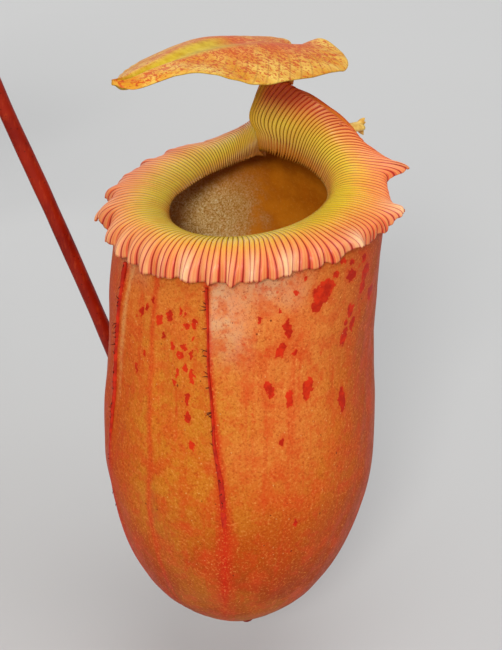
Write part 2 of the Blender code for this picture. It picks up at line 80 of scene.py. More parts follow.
CUP_LEAN = ((0, -1.2), (18, -1.0), (27, -0.65), (44, -0.25), (80, -0.1), (97, 0), (114, -0.65), (126, -0.5))
CUP_SHIFT = ((0, -3.9), (27, -2.6), (60, -1.1), (100, 0.1), (114, 0.9), (123, 1.7), (140, 3.6))
RIM_INNER = ((0, -21.5, 151), (9.5, -20, 151.8), (17.5, -15.5, 153.5), (23.5, -7, 155.3),
             (25.3, 3, 156.7), (25, 12, 158.5), (22.6, 18.6, 160.3), (17.8, 22.2, 163.4),
             (11.5, 22, 167.3), (7, 20.2, 170), (3.2, 17.6, 172), (0, 16.3, 173))
RIM_CREST = ((0, -31, 155.5), (13.5, -28.5, 156), (25.5, -21, 157.2), (34, -9.5, 158.8),
             (37.5, 4, 160.3), (36, 15.5, 162.8), (31, 23.5, 166.3), (25, 27.5, 171.5),
             (18, 27, 178.3), (12, 24.5, 184.5), (6, 21.8, 188.5), (0, 20.5, 190))
RIM_OUTER = ((0, -42, 144), (19, -38, 145), (34.5, -30, 147), (47.5, -14.5, 150.5),
             (53, 4, 154.3), (51, 18, 157), (44.5, 28.5, 161.5), (36.5, 35, 167.5),
             (27, 36, 176), (18.5, 31.5, 185.5), (10.5, 26.5, 192.5), (0, 24, 196.5))
RIM_STEPS = 11.0
NECK_LEAN = ((0, -2.4, -2.0, 2.2), (0.2, -6.3, -5.3, 0.8), (0.45, -5.8, -4.8, 0),
             (0.75, -4.5, -3.8, 0), (1, -3.5, -2.5, 0))
LEFT_DROP = ((0, 0), (0.5, 0), (0.545, 1.6), (0.636, 3.0), (0.727, 5.0), (0.818, 4.5), (0.909, 2.5), (1, 0))
LID_MIDLINE = ((0, 26, 199.2), (0, 25.3, 202.6), (0, 22, 206), (0, 13, 209.2), (0, 3, 211.6),
               (0, -9, 213.6), (0, -22, 214.4), (0, -34, 213), (0, -45, 211.6),
               (0, -53, 210.6), (0, -58.5, 211))
LID_RIGHT = ((1.5, 27.6, 200.4), (4, 35.5, 206.2), (16.5, 32.5, 204.3), (25, 24, 203), (26.5, 12, 203.8),
             (27, -5, 205.3), (25.8, -21, 207.3), (18.8, -33, 211.2), (12.5, -42.5, 212),
             (5.9, -53.7, 209.3), (0.3, -58.8, 210.8))
LID_LEFT = ((-1.5, 27.6, 200.4), (-5, 32, 204), (-13, 31, 203.8), (-21, 25, 203.8), (-26, 14, 205.5),
            (-28, 1.5, 206.3), (-23.5, -20, 205.5), (-16, -35.5, 206.5), (-9.5, -46.5, 208),
            (-4.5, -53.5, 209.6), (-0.3, -58.8, 210.8))
WING_ANGLE = ((20, 36.0), (63, 35.0), (92, 29.5), (142, 24.0))
HERO_TENDRIL = ((-94, 26.5, 228), (-82, 28, 189.3), (-64.4, 31, 142.4), (-46.4, 35, 92),
                (-33, 39, 48), (-24, 38, 20), (-14, 28, 2), (-5, 13, -0.8), (2.5, 0.5, 0.9))

HERO_TENDRIL_R = 2.7
HERO_LEAF = "leaf_5"
TENDRIL_R = 1.5
LEAF_PLEATS = 4.2
CUP_WALL = 1.7
RIBS = 92
WING_HAIRS = 26
CHIPS = 620
MOSS_STRANDS = 900

# ---------------------------------------------------------------- small maths helpers


def through(points, at):
    """Catmull-Rom through all but the first and last points, at parameters counted in points."""
    points = np.asarray(points, float)
    at = np.asarray(at, float)
    i = np.clip(at.astype(int), 0, len(points) - 4)
    t = (at - i)[..., None]
    a, b, c, d = points[i], points[i + 1], points[i + 2], points[i + 3]
    return 0.5 * (2 * b + (c - a) * t + (2 * a - 5 * b + 4 * c - d) * t**2 + (3 * b - a - 3 * c + d) * t**3)


def with_ends(rows):
    """The rows with one point more, straight on, at each end."""
    points = np.array(rows, float)
    return np.vstack([2 * points[0] - points[1], points, 2 * points[-1] - points[-2]])


def spline(rows, count):
    return through(with_ends(rows), np.linspace(0, len(rows) - 1, count))


def table(rows, x):
    return np.interp(x, [r[0] for r in rows], [r[1] for r in rows])


def hill(x, width):
    """1 at x = 0, falling off evenly on both sides."""
    return np.exp(-((x / width) ** 2))


def radii_along(count, places, radii):
    """Radii at evenly spaced points of a path whose places run from 0 to 1."""
    return np.interp(np.linspace(0, 1, count), places, radii)


def smooth(x):
    x = np.clip(x, 0, 1)
    return x * x * (3 - 2 * x)


def unit(v):
    return v / np.maximum(np.linalg.norm(v, axis=-1, keepdims=True), 1e-9)


def ripple(x, seed):
    """A smooth wandering value of about -1 to 1 along x, made of five sines."""
    rng = np.random.default_rng(seed)
    total = 0
    for k in range(5):
        total = total + np.sin(x * (1 + k) * rng.uniform(0.8, 1.3) + rng.uniform(0, 6.28)) / (1 + 0.5 * k)
    return total / 2.2


# ---------------------------------------------------------------- mesh helpers


def mesh_object(name, points, faces, attributes=None, uv=None, smooth_faces=True):
    """A mesh from points in mm. faces is an (n, 4) array; uv is one pair for each face corner."""
    points = np.asarray(points, float).reshape(-1, 3) * MM
    mesh = bpy.data.meshes.new(name)
    if isinstance(faces, np.ndarray) and faces.ndim == 2:
        width = faces.shape[1]
        mesh.vertices.add(len(points))
        mesh.vertices.foreach_set("co", points.ravel())
        mesh.loops.add(faces.size)
        mesh.loops.foreach_set("vertex_index", faces.ravel().astype(np.int32))
        mesh.polygons.add(len(faces))
        mesh.polygons.foreach_set("loop_start", np.arange(0, faces.size, width, dtype=np.int32))
        mesh.update(calc_edges=True)
        mesh.validate()
    else:
        mesh.from_pydata([tuple(p) for p in points], [], [tuple(int(i) for i in f) for f in faces])
    for key, values in (attributes or {}).items():
        layer = mesh.attributes.new(key, "FLOAT", "POINT")
        layer.data.foreach_set("value", np.asarray(values, np.float32).ravel())
    if uv is not None:
        layer = mesh.uv_layers.new(name="UVMap")
        layer.data.foreach_set("uv", np.asarray(uv, np.float32).ravel())
    if smooth_faces:
        mesh.shade_smooth()
    obj = bpy.data.objects.new(name, mesh)
    scene.collection.objects.link(obj)
    return obj


def quads(rows, columns, wrap=False, start=0):
    """Grid faces, and for each corner its (row, column) before wrapping."""
    r = np.arange(rows - 1)[:, None]
    c = np.arange(columns if wrap else columns - 1)[None, :]
    corners = [(r, c), (r, c + 1), (r + 1, c + 1), (r + 1, c)]
    numbers = [np.broadcast_arrays(start + a * columns + b % columns, r + c)[0] for a, b in corners]
    faces = np.stack(numbers, -1)
    places = np.stack([np.stack(np.broadcast_arrays(a + 0 * c, b + 0 * r), -1) for a, b in corners], -2)
    return faces.reshape(-1, 4), places.reshape(-1, 2)


def grid_normals(grid, wrap=False):
    """Unit normals of a (rows, columns, 3) grid: along the columns crossed with along the rows."""
    across = np.empty_like(grid)
    across[:, 1:-1] = grid[:, 2:] - grid[:, :-2]
    if wrap:
        across[:, 0] = grid[:, 1] - grid[:, -1]
        across[:, -1] = grid[:, 0] - grid[:, -2]
    else:
        across[:, 0] = grid[:, 1] - grid[:, 0]
        across[:, -1] = grid[:, -1] - grid[:, -2]
    return unit(np.cross(across, np.gradient(grid, axis=0)))


def sheet_object(name, grid, thickness, attributes):
    """A thin closed sheet: the grid is its upper face, and the under face lies thickness below."""
    rows, columns = grid.shape[:2]
    normal = grid_normals(grid)
    if normal[rows // 2, columns // 2, 2] < 0:
        normal = -normal
    under = grid - normal * thickness[..., None]
    count = rows * columns
    top, _ = quads(rows, columns)
    index = np.arange(count).reshape(rows, columns)
    edge = np.concatenate([index[0, :-1], index[:-1, -1], index[-1, :0:-1], index[:0:-1, 0]])
    nxt = np.roll(edge, -1)
    rim = np.stack([edge, edge + count, nxt + count, nxt], -1)
    faces = np.concatenate([top, top[:, ::-1] + count, rim])
    values = {k: np.concatenate([np.ravel(v), np.ravel(v)]) for k, v in attributes.items()}
    values["under"] = np.concatenate([np.zeros(count), np.ones(count)])
    obj = mesh_object(name, np.concatenate([grid.reshape(-1, 3), under.reshape(-1, 3)]), faces, values)
    recalculate(obj)
    return obj


def recalculate(obj):
    build = bmesh.new()
    build.from_mesh(obj.data)
    bmesh.ops.recalc_face_normals(build, faces=build.faces)
    build.to_mesh(obj.data)
    build.free()
    return obj


def frames_along(path):
    """Two unit vectors across the path at each of its points, carried along without twist."""
    tangent = unit(np.gradient(path, axis=0))
    side = np.cross(tangent[0], UP)
    if np.linalg.norm(side) < 0.1:
        side = np.cross(tangent[0], [0, 1.0, 0])
    sides = []
    for t in tangent:
        side = side - t * np.dot(side, t)
        side = side / np.linalg.norm(side)
        sides.append(side)
    sides = np.array(sides)
    return sides, np.cross(tangent, sides)


def tube_data(path, radii, sides=16, squash=1.0):
    """Points and faces of a closed round tube along a path."""
    path = np.asarray(path, float)
    one, two = frames_along(path)
    turn = np.linspace(0, 2 * np.pi, sides, endpoint=False)
    ring = (one[:, None] * np.cos(turn)[None, :, None]
            + squash * two[:, None] * np.sin(turn)[None, :, None])
    points = (path[:, None] + ring * np.asarray(radii)[:, None, None]).reshape(-1, 3)
    faces, _ = quads(len(path), sides, wrap=True)
    last = (len(path) - 1) * sides
    ends = np.arange(sides)
    caps = [(len(points), int(a), int(b)) for a, b in zip(ends, np.roll(ends, -1))]
    caps += [(len(points) + 1, last + int(b), last + int(a)) for a, b in zip(ends, np.roll(ends, -1))]
    points = np.vstack([points, path[0], path[-1]])
    return points, [tuple(f) for f in faces] + caps


def tube_object(name, path, radii, sides=16, squash=1.0):
    points, faces = tube_data(path, radii, sides, squash)
    span = np.linspace(0, 1, len(path))
    values = {"along": np.concatenate([np.repeat(span, sides), [0, 1]])}
    return recalculate(mesh_object(name, points, faces, values))


def join_data(parts):
    points, faces, base = [], [], 0
    for p, f in parts:
        points.append(np.asarray(p, float))
        faces += [tuple(int(i) + base for i in face) for face in f]
        base += len(p)
    return np.vstack(points), faces


def settle(obj, node):
    """Moves a piece so that its box has the same centre as its CAD node's."""
    low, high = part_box(node)
    bpy.context.view_layer.update()
    corners = np.array([obj.matrix_world @ Vector(c) for c in obj.bound_box])
    obj.location += (low + high) / 2 - Vector((corners.min(0) + corners.max(0)) / 2)
    return obj


def keep(obj, material, slot, *nodes):
    """Every piece rides on the one body, wears its material and stands for its CAD nodes."""
    obj.data.materials.clear()
    obj.data.materials.append(material)
    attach(obj, "root")
    if nodes:
        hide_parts(*nodes)


# ---------------------------------------------------------------- material helpers


class Value:
    """A number inside a material. Arithmetic on it adds nodes."""

    def __init__(self, look, socket):
        self.look = look
        self.socket = socket

    def __add__(self, other):
        return self.look.math("ADD", self, other)

    def __sub__(self, other):
        return self.look.math("SUBTRACT", self, other)

    def __rsub__(self, other):
        return self.look.math("SUBTRACT", other, self)

    def __mul__(self, other):
        return self.look.math("MULTIPLY", self, other)

    def __truediv__(self, other):
        return self.look.math("DIVIDE", self, other)

    def __pow__(self, other):
        return self.look.math("POWER", self, other)

    def __abs__(self):
        return self.look.math("ABSOLUTE", self)


class Look:
    """A Principled material built up from a few kinds of node."""

    def __init__(self, name, roughness=0.5, specular=0.5, coat=0.0, coat_roughness=0.2, subsurface=0.0,
                 subsurface_scale=0.004):
        self.material = bpy.data.materials.new(name)
        self.material.use_nodes = True
        self.tree = self.material.node_tree
        self.shader = self.tree.nodes["Principled BSDF"]
        self.shader.inputs["Roughness"].default_value = roughness
        self.shader.inputs["Specular IOR Level"].default_value = specular
        self.shader.inputs["Coat Weight"].default_value = coat
        self.shader.inputs["Coat Roughness"].default_value = coat_roughness
        self.shader.inputs["Subsurface Weight"].default_value = subsurface
        self.shader.inputs["Subsurface Radius"].default_value = (1.0, 0.4, 0.2)
        self.shader.inputs["Subsurface Scale"].default_value = subsurface_scale
        self.place = self.add("ShaderNodeTexCoord").outputs["Object"]

    def add(self, kind, **settings):
        node = self.tree.nodes.new(kind)
        for key, value in settings.items():
            setattr(node, key, value)
        return node

    def plug(self, socket, value):
        if isinstance(value, Value):
            value = value.socket
        if isinstance(value, bpy.types.NodeSocket):
            self.tree.links.new(value, socket)
        elif isinstance(value, (tuple, list)) and len(value) == 3 and socket.type == "RGBA":
            socket.default_value = (*value, 1.0)
        else:
            socket.default_value = value

    def math(self, operation, a, b=0.0, c=None, clamp=False):
        node = self.add("ShaderNodeMath", operation=operation, use_clamp=clamp)
        self.plug(node.inputs[0], a)
        self.plug(node.inputs[1], b)
        if c is not None:
            self.plug(node.inputs[2], c)
        return Value(self, node.outputs[0])

    def vector(self, operation, a, b=(0, 0, 0)):
        node = self.add("ShaderNodeVectorMath", operation=operation)
        self.plug(node.inputs[0], a)
        self.plug(node.inputs[1], b)
        return node.outputs["Value" if operation == "LENGTH" else "Vector"]

    def parts(self, vector):
        """A vector's x, y and z."""
        node = self.add("ShaderNodeSeparateXYZ")
        self.plug(node.inputs[0], vector)
        return [Value(self, output) for output in node.outputs]

    def joined(self, *parts):
        """A vector from up to three numbers."""
        node = self.add("ShaderNodeCombineXYZ")
        for socket, part in zip(node.inputs, parts):
            self.plug(socket, part)
        return node.outputs[0]

    def attribute(self, name):
        return Value(self, self.add("ShaderNodeAttribute", attribute_name=name).outputs["Fac"])

    def scaled(self, factors):
        return self.vector("MULTIPLY", self.place, factors)

    def noise(self, scale, detail=3.0, roughness=0.55, source=None, distortion=0.0):
        node = self.add("ShaderNodeTexNoise")
        self.plug(node.inputs["Vector"], self.place if source is None else source)
        node.inputs["Scale"].default_value = scale
        node.inputs["Detail"].default_value = detail
        node.inputs["Roughness"].default_value = roughness
        node.inputs["Distortion"].default_value = distortion
        return Value(self, node.outputs["Fac"])

    def cells(self, scale, source=None):
        node = self.add("ShaderNodeTexVoronoi")
        self.plug(node.inputs["Vector"], self.place if source is None else source)
        node.inputs["Scale"].default_value = scale
        return node

    def span(self, value, low, high, start=0.0, end=1.0, soft=True):
        """value mapped from low..high to start..end and clamped."""
        node = self.add("ShaderNodeMapRange", interpolation_type="SMOOTHSTEP" if soft else "LINEAR")
        for socket, v in zip(node.inputs, (value, low, high, start, end)):
            self.plug(socket, v)
        return Value(self, node.outputs[0])

    def mix(self, fac, a, b):
        node = self.add("ShaderNodeMix", data_type="RGBA")
        self.plug(node.inputs[0], fac)
        self.plug(node.inputs[6], a)
        self.plug(node.inputs[7], b)
        return node.outputs[2]

    def layers(self, colour, *rows):
        """Lays each (amount, display colour) over the colour in turn."""
        for amount, tint in rows:
            colour = self.mix(amount, colour, rgb(*tint))
        return colour

    def ramp(self, fac, stops):
        node = self.add("ShaderNodeValToRGB")
        self.plug(node.inputs[0], fac)
        elements = node.color_ramp.elements
        while len(elements) < len(stops):
            elements.new(0.5)
        for element, (at, colour) in zip(elements, stops):
            element.position = at
            element.color = (*colour, 1.0)
        return node.outputs[0]

    def bump(self, height, strength=0.5, distance=0.001, after=None):
        node = self.add("ShaderNodeBump")
        node.inputs["Strength"].default_value = strength
        node.inputs["Distance"].default_value = distance
        self.plug(node.inputs["Height"], height)
        if after is not None:
            self.plug(node.inputs["Normal"], after)
        return node.outputs[0]

    def finish(self, colour, roughness=None, normal=None):
        self.plug(self.shader.inputs["Base Color"], colour)
        if roughness is not None:
            self.plug(self.shader.inputs["Roughness"], roughness)
        if normal is not None:
            self.plug(self.shader.inputs["Normal"], normal)
        return self.material


def rgb(r, g, b):
    """A colour given as 0 to 255 display values."""
    return tuple(((c / 255 + 0.055) / 1.055) ** 2.4 if c > 10 else c / 255 / 12.92 for c in (r, g, b))


# ---------------------------------------------------------------- camera, light and floor

TARGET = (PITCHER_AT + (3.7, 0, 114.0)) * MM
LIFT = math.radians(23)
CAMERA_LENS = 115.4
CAMERA_AWAY = 0.7


def build_camera():
    data = bpy.data.cameras.new("camera")
    data.lens = CAMERA_LENS
    data.clip_end = 50
    camera = bpy.data.objects.new("camera", data)
    scene.collection.objects.link(camera)
    back = Vector((0, -math.cos(LIFT), math.sin(LIFT)))
    camera.location = Vector(TARGET) + back * CAMERA_AWAY
    camera.rotation_euler = (-back).to_track_quat("-Z", "Y").to_euler()
    scene.camera = camera


def soft_sun(name, towards, wide, strength, colour=(1, 1, 1)):
    """A big soft light a long way off, shining from the direction given."""
    data = bpy.data.lights.new(name, "SUN")
    data.angle = math.radians(wide)
    data.energy = strength
    data.color = colour
    light = bpy.data.objects.new(name, data)
    light.rotation_euler = (-Vector(towards)).to_track_quat("-Z", "Y").to_euler()
    scene.collection.objects.link(light)


def build_studio():
    soft_sun("key_light", (-0.12, -0.90, 0.45), 12, 1.55, (1.0, 0.985, 0.96))
    soft_sun("top_light", (0.10, -0.42, 0.90), 40, 0.85)
    soft_sun("back_light", (-0.35, 0.80, 0.60), 50, 0.45)
    world = bpy.data.worlds.new("studio")
    scene.world = world
    world.use_nodes = True
    world.node_tree.nodes["Background"].inputs["Color"].default_value = (0.93, 0.94, 0.96, 1)
    world.node_tree.nodes["Background"].inputs["Strength"].default_value = 0.52
    floor = mesh_object("floor", [(-6000, -6000, 0), (6000, -6000, 0), (6000, 6000, 0), (-6000, 6000, 0)],
                        np.array([[0, 1, 2, 3]]))
    look = Look("pale_floor", roughness=0.8, specular=0.2)
    tone = look.noise(3.0, 2.0)
    floor.data.materials.append(look.finish(look.mix(tone, (0.58, 0.58, 0.575), (0.61, 0.61, 0.605))))
    scene.view_settings.view_transform = "Standard"
    scene.view_settings.look = "None"


# ---------------------------------------------------------------- pot and growing medium


def outer_radius(z):
    return POT_FOOT_R + (POT_NECK_R - POT_FOOT_R) * z / (POT_HEIGHT - POT_RIM_DEPTH)


def revolved(profile, sides):
    """A closed turned body from (radius, z) pairs that start and end on the axis."""
    turn = np.linspace(0, 2 * np.pi, sides, endpoint=False)
    inner = np.array(profile[1:-1], float)
    points = np.stack([inner[:, :1] * np.cos(turn), inner[:, :1] * np.sin(turn),
                       np.repeat(inner[:, 1:], sides, 1)], -1).reshape(-1, 3)
    faces = [tuple(f) for f in quads(len(inner), sides, wrap=True)[0]]
    base, last = len(points), (len(inner) - 1) * sides
    points = np.vstack([points, (0, 0, profile[0][1]), (0, 0, profile[-1][1])])
    for k in range(sides):
        n = (k + 1) % sides
        faces += [(base, n, k), (base + 1, last + k, last + n)]
    return points, faces


def rounded(profile):
    """Softens the inner corners of a profile."""
    reach, steps = 1.2, 3
    out = [profile[0]]
    for a, b, c in zip(profile, profile[1:], profile[2:]):
        a, b, c = (np.array(p, float) for p in (a, b, c))
        cut = min(reach, 0.4 * np.linalg.norm(a - b), 0.4 * np.linalg.norm(c - b))
        p, q = b + unit(a - b) * cut, b + unit(c - b) * cut
        for t in np.linspace(0, 1, steps + 1):
            out.append(tuple((1 - t) ** 2 * p + 2 * t * (1 - t) * b + t * t * q))
    out.append(profile[-1])
    return out


def terracotta():
    look = Look("terracotta", roughness=0.85, specular=0.25)
    broad = look.noise(9.0, 4.0, 0.6)
    fine = look.noise(900.0, 3.0, 0.6)
    rings = look.noise(1.0, 2.0, 0.5, source=look.scaled((14, 14, 420)))
    base = look.mix(look.span(broad, 0.3, 0.7), rgb(176, 98, 62), rgb(202, 128, 90))
    base = look.mix(look.span(fine, 0.35, 0.75), base, rgb(168, 92, 58))
    damp = look.span(look.parts(look.place)[2], 0.06, 0.0) * look.span(broad, 0.35, 0.65, 0.4, 1.0)
    base = look.mix(damp * 0.45, base, rgb(128, 66, 42))
    salt = look.span(look.noise(26.0, 6.0, 0.7, distortion=0.6), 0.56, 0.70)
    salt = salt * look.span(look.noise(7.0, 2.0), 0.45, 0.65)
    base = look.mix(salt * 0.45, base, rgb(222, 205, 188))
    pits = look.cells(420.0)
    pit = look.span(pits.outputs["Distance"], 0.0, 0.16, 1.0, 0.0)
    base = look.mix(pit * 0.5, base, rgb(120, 62, 40))
    normal = look.bump(rings, 0.35, 0.0006)
    normal = look.bump(fine, 0.25, 0.0004, after=normal)
    normal = look.bump(pits.outputs["Distance"], 0.12, 0.0005, after=normal)
    return look.finish(base, look.span(salt, 0, 1, 0.82, 0.95), normal)


def build_pot():
    band = POT_HEIGHT - POT_RIM_DEPTH
    inner_top = outer_radius(band) - POT_WALL + 2.0
    floor_r = outer_radius(POT_FLOOR) - POT_WALL
    profile = [(0, POT_FLOOR), (floor_r - 2, POT_FLOOR), (floor_r, POT_FLOOR + 2),
               (outer_radius(band) - POT_WALL, band), (inner_top, POT_HEIGHT - 2),
               (inner_top + 1.5, POT_HEIGHT),
               (POT_RIM_R - 2, POT_HEIGHT), (POT_RIM_R, POT_HEIGHT - 2), (POT_RIM_R - 1.5, band + 1.5),
               (POT_RIM_R - 3, band), (outer_radius(band), band - 1), (outer_radius(2), 2),
               (POT_FOOT_R - 2, 0), (0, 0)]
    points, faces = revolved(rounded(profile), 120)
    pot = recalculate(mesh_object("pot", points, faces))
    pot.data.set_sharp_from_angle(angle=math.radians(50))
    for k in range(4):
        turn = math.radians(45 + 90 * k)
        bpy.ops.mesh.primitive_cylinder_add(
            vertices=32, radius=0.005, depth=0.03,
            location=(0.03 * math.cos(turn), 0.03 * math.sin(turn), 0.004))
        cutter = bpy.context.object
        hole = pot.modifiers.new("drain", "BOOLEAN")
        hole.object = cutter
        hole.solver = "EXACT"
        bpy.context.view_layer.objects.active = pot
        bpy.ops.object.modifier_apply(modifier=hole.name)
        bpy.data.objects.remove(cutter)
    keep(settle(pot, "pot"), terracotta(), "terracotta", "pot")


def medium_height(x, y, r):
    mound = table(((6, 5.0), (26, 4.4), (50, 2.2), (66, 0.3), (74, -1.0)), r)
    bumps = (np.sin(x * 0.31 + 1.0) * np.cos(y * 0.27) + np.sin(x * 0.9 + y * 0.6) * 0.5
             + np.sin(x * 1.7 - y * 1.3 + 2) * 0.35)
    return MEDIUM_TOP + mound + 0.8 * bumps - 1.0


def build_medium():
    radius = outer_radius(POT_HEIGHT - POT_RIM_DEPTH) - POT_WALL + (MEDIUM_TOP - 112) * 2 / 28.0
    r = np.concatenate([np.linspace(STEM_R - 0.5, radius, 70), [radius, radius]])
    turn = np.linspace(0, 2 * np.pi, 150, endpoint=False)
    rr, tt = np.meshgrid(r, turn, indexing="ij")
    x, y = rr * np.cos(tt), rr * np.sin(tt)
    z = medium_height(x, y, rr)
    z[-2], z[-1] = z[-2] - 3, 100
    faces, _ = quads(len(r), len(turn), wrap=True)
    soil = mesh_object("growing_medium", np.stack([x, y, z], -1), faces)
    look = Look("peat", roughness=0.95, specular=0.2)
    grain = look.noise(320.0, 5.0, 0.7)
    colour = look.ramp(grain, ((0.3, rgb(22, 14, 9)), (0.5, rgb(52, 34, 22)), (0.72, rgb(96, 66, 42))))
    keep(soil, look.finish(colour, 0.95, look.bump(grain, 0.9, 0.002)), "medium", "growing_medium")

    rng = np.random.default_rng(11)
    kinds = {"bark_chips": [], "perlite": [], "moss": []}
    for k in range(CHIPS):
        far = STEM_R + 5 + (radius - STEM_R - 10) * math.sqrt(rng.random())
        turn = rng.uniform(0, 2 * math.pi)
        at = np.array([far * math.cos(turn), far * math.sin(turn), 0])
        at[2] = medium_height(at[0], at[1], far) + rng.uniform(0, 1.2)
        if k % 6 == 0:
            size = np.array([1, 1, 0.8]) * rng.uniform(1.0, 1.9)
            kind = "perlite"
        else:
            size = np.array([rng.uniform(2.5, 6.0), rng.uniform(1.5, 3.2), rng.uniform(0.5, 1.2)])
            kind = "bark_chips"
        spin = Vector((rng.uniform(-0.5, 0.5), rng.uniform(-0.5, 0.5), rng.uniform(0, 6.28)))
        kinds[kind].append(chip(at, size, spin, rng))
    for k in range(MOSS_STRANDS):
        far = 10 + (radius - 14) * math.sqrt(rng.random())
        turn = rng.uniform(0, 2 * math.pi)
        if ripple(np.array(turn * 2 + far * 0.05), 5) < -0.1:
            continue
        at = np.array([far * math.cos(turn), far * math.sin(turn), 0])
        at[2] = medium_height(at[0], at[1], far) - 0.5
        kinds["moss"].append(moss_strand(at, rng))
    bark = Look("bark", roughness=0.85, specular=0.3)
    grain = bark.noise(60.0, 4.0, 0.65)
    tone = bark.noise(22.0, 1.0)
    colour = bark.ramp(tone, ((0.35, rgb(48, 30, 18)), (0.5, rgb(98, 62, 36)), (0.65, rgb(142, 98, 60))))
    colour = bark.mix(bark.span(grain, 0.4, 0.7, 0.0, 0.5), colour, rgb(40, 24, 15))
    white = Look("perlite", roughness=0.9)
    green = Look("moss", roughness=0.8, specular=0.3)
    moss_colour = green.ramp(green.noise(40.0, 2.0), ((0.3, rgb(70, 84, 26)), (0.55, rgb(122, 136, 52)),
                                                      (0.75, rgb(172, 168, 96))))
    looks = {
        "bark_chips": bark.finish(colour, 0.85, bark.bump(bark.noise(500.0, 3.0), 0.5, 0.0006)),
        "perlite": white.finish(white.mix(white.noise(300.0, 2.0), rgb(205, 203, 196), rgb(238, 236, 230))),
        "moss": green.finish(moss_colour),
    }
    for kind, parts in kinds.items():
        points, faces = join_data(parts)
        keep(mesh_object(kind, points, faces, smooth_faces=kind == "moss"), looks[kind], "medium")


def chip(at, size, spin, rng):
    """A rough flake: an uneven flattened octahedron with its corners knocked about."""
    turn = np.linspace(0, 2 * np.pi, 7, endpoint=False)
    ring = np.stack([np.cos(turn), np.sin(turn), 0 * turn], -1) * rng.uniform(0.75, 1.15, (7, 1))
    top = ring * [0.72, 0.72, 0] + [0, 0, 1]
    low = ring * [0.72, 0.72, 0] - [0, 0, 1]
    points = np.vstack([top + rng.uniform(-0.12, 0.12, (7, 3)), ring, low]) * size
    turn_matrix = np.array(Euler(spin).to_matrix())
    points = points @ turn_matrix.T + at
    faces = [tuple(range(7)), tuple(range(20, 13, -1))]
    for k in range(7):
        n = (k + 1) % 7
        faces += [(7 + k, 7 + n, n, k), (14 + k, 14 + n, 7 + n, 7 + k)]
    return points, faces


def moss_strand(at, rng):
    """One short curling strand of moss."""
    lean = rng.uniform(-1, 1, 3) * [1, 1, 0]
    length = rng.uniform(2.0, 4.2)
    t = np.linspace(0, 1, 5)[:, None]
    path = at + UP * t * length * 0.75 + lean * t**1.5 * length * 0.8
    return tube_data(path, np.array([0.55, 0.62, 0.5, 0.4, 0.1]) * rng.uniform(0.7, 1.1), sides=4)


# ---------------------------------------------------------------- stem, leaves and tendrils


def leaf_midrib(azimuth, height, scale, shape, count):
    a = math.radians(azimuth)
    out = np.array([math.cos(a), math.sin(a), 0.0])
    start = STEM_R + 0.9
    path = spline([(start + scale * r, scale * h) for r, h in shape], count)
    return out * path[:, :1] + UP * (height + path[:, 1:]), np.array([-math.sin(a), math.cos(a), 0.0]), out


def leaf_look(name, age):
    """age runs from 0, the newest leaf, to 1, the oldest."""
    look = Look(name, roughness=0.36, specular=0.5, coat=0.15, coat_roughness=0.3, subsurface=0.08,
                subsurface_scale=0.002)
    across, along = look.attribute("across"), look.attribute("along")
    under = look.attribute("under")
    away = abs(across)
    broad = look.noise(16.0, 3.0)
    fresh, grown = rgb(112, 140, 44), rgb(58, 96, 34)
    tone = tuple(f * (1 - age) + g * age for f, g in zip(fresh, grown))
    deep = tuple(c * 0.62 for c in tone)
    colour = look.mix(look.span(broad, 0.3, 0.7), deep, tone)
    colour = look.mix(look.span(away, 0.03, 0.10, 0.85, 0.0), colour, rgb(150, 150, 64))
    # side veins leave the midrib at a low angle and run along the blade
    run = along * 46.0 - away * 7.5
    vein = abs(look.math("FRACT", run) - 0.5)
    vein = look.span(vein, 0.0, 0.09, 1.0, 0.0)
    lines = abs(look.math("FRACT", away * LEAF_PLEATS) - 0.5)
    lines = look.span(lines, 0.0, 0.07, 1.0, 0.0)
    veins = look.math("MAXIMUM", vein * 0.55, lines)
    colour = look.mix(veins * 0.30, colour, tuple(min(1, c * 1.9) for c in tone))
    red = look.span(away, 0.90, 1.0) * look.span(look.noise(30.0, 2.0), 0.35, 0.6, 0.3, 0.9)
    colour = look.layers(
        colour,
        (red, (132, 42, 26)),
        (look.span(along, 0.90, 1.0) * 0.8, (140, 52, 28)),
        (look.span(along, 0.12, 0.0, 0.0, 0.5), (160, 160, 84)),
    )
    specks = look.cells(260.0)
    speck = look.span(specks.outputs["Distance"], 0.05, 0.14, 1.0, 0.0)
    speck = speck * look.span(look.noise(24.0, 2.0), 0.5, 0.62)
    colour = look.mix(speck * 0.7, colour, rgb(92, 40, 24))
    if age > 0.6:
        dry = look.span(along + look.noise(45.0, 3.0) * 0.25, 0.98, 1.10) * 0.9
        colour = look.mix(dry, colour, rgb(120, 84, 44))
        patch = look.span(look.noise(34.0, 4.0, 0.6), 0.63, 0.72, 0.0, 0.6)
        colour = look.mix(patch, colour, rgb(150, 142, 60))
    colour = look.mix(under * 0.55, colour, rgb(138, 150, 92))
    normal = look.bump(veins, 0.25, 0.0005)
    normal = look.bump(look.noise(700.0, 2.0), 0.08, 0.0004, after=normal)
    return look.finish(colour, look.span(broad, 0.2, 0.8, 0.30, 0.44), normal)


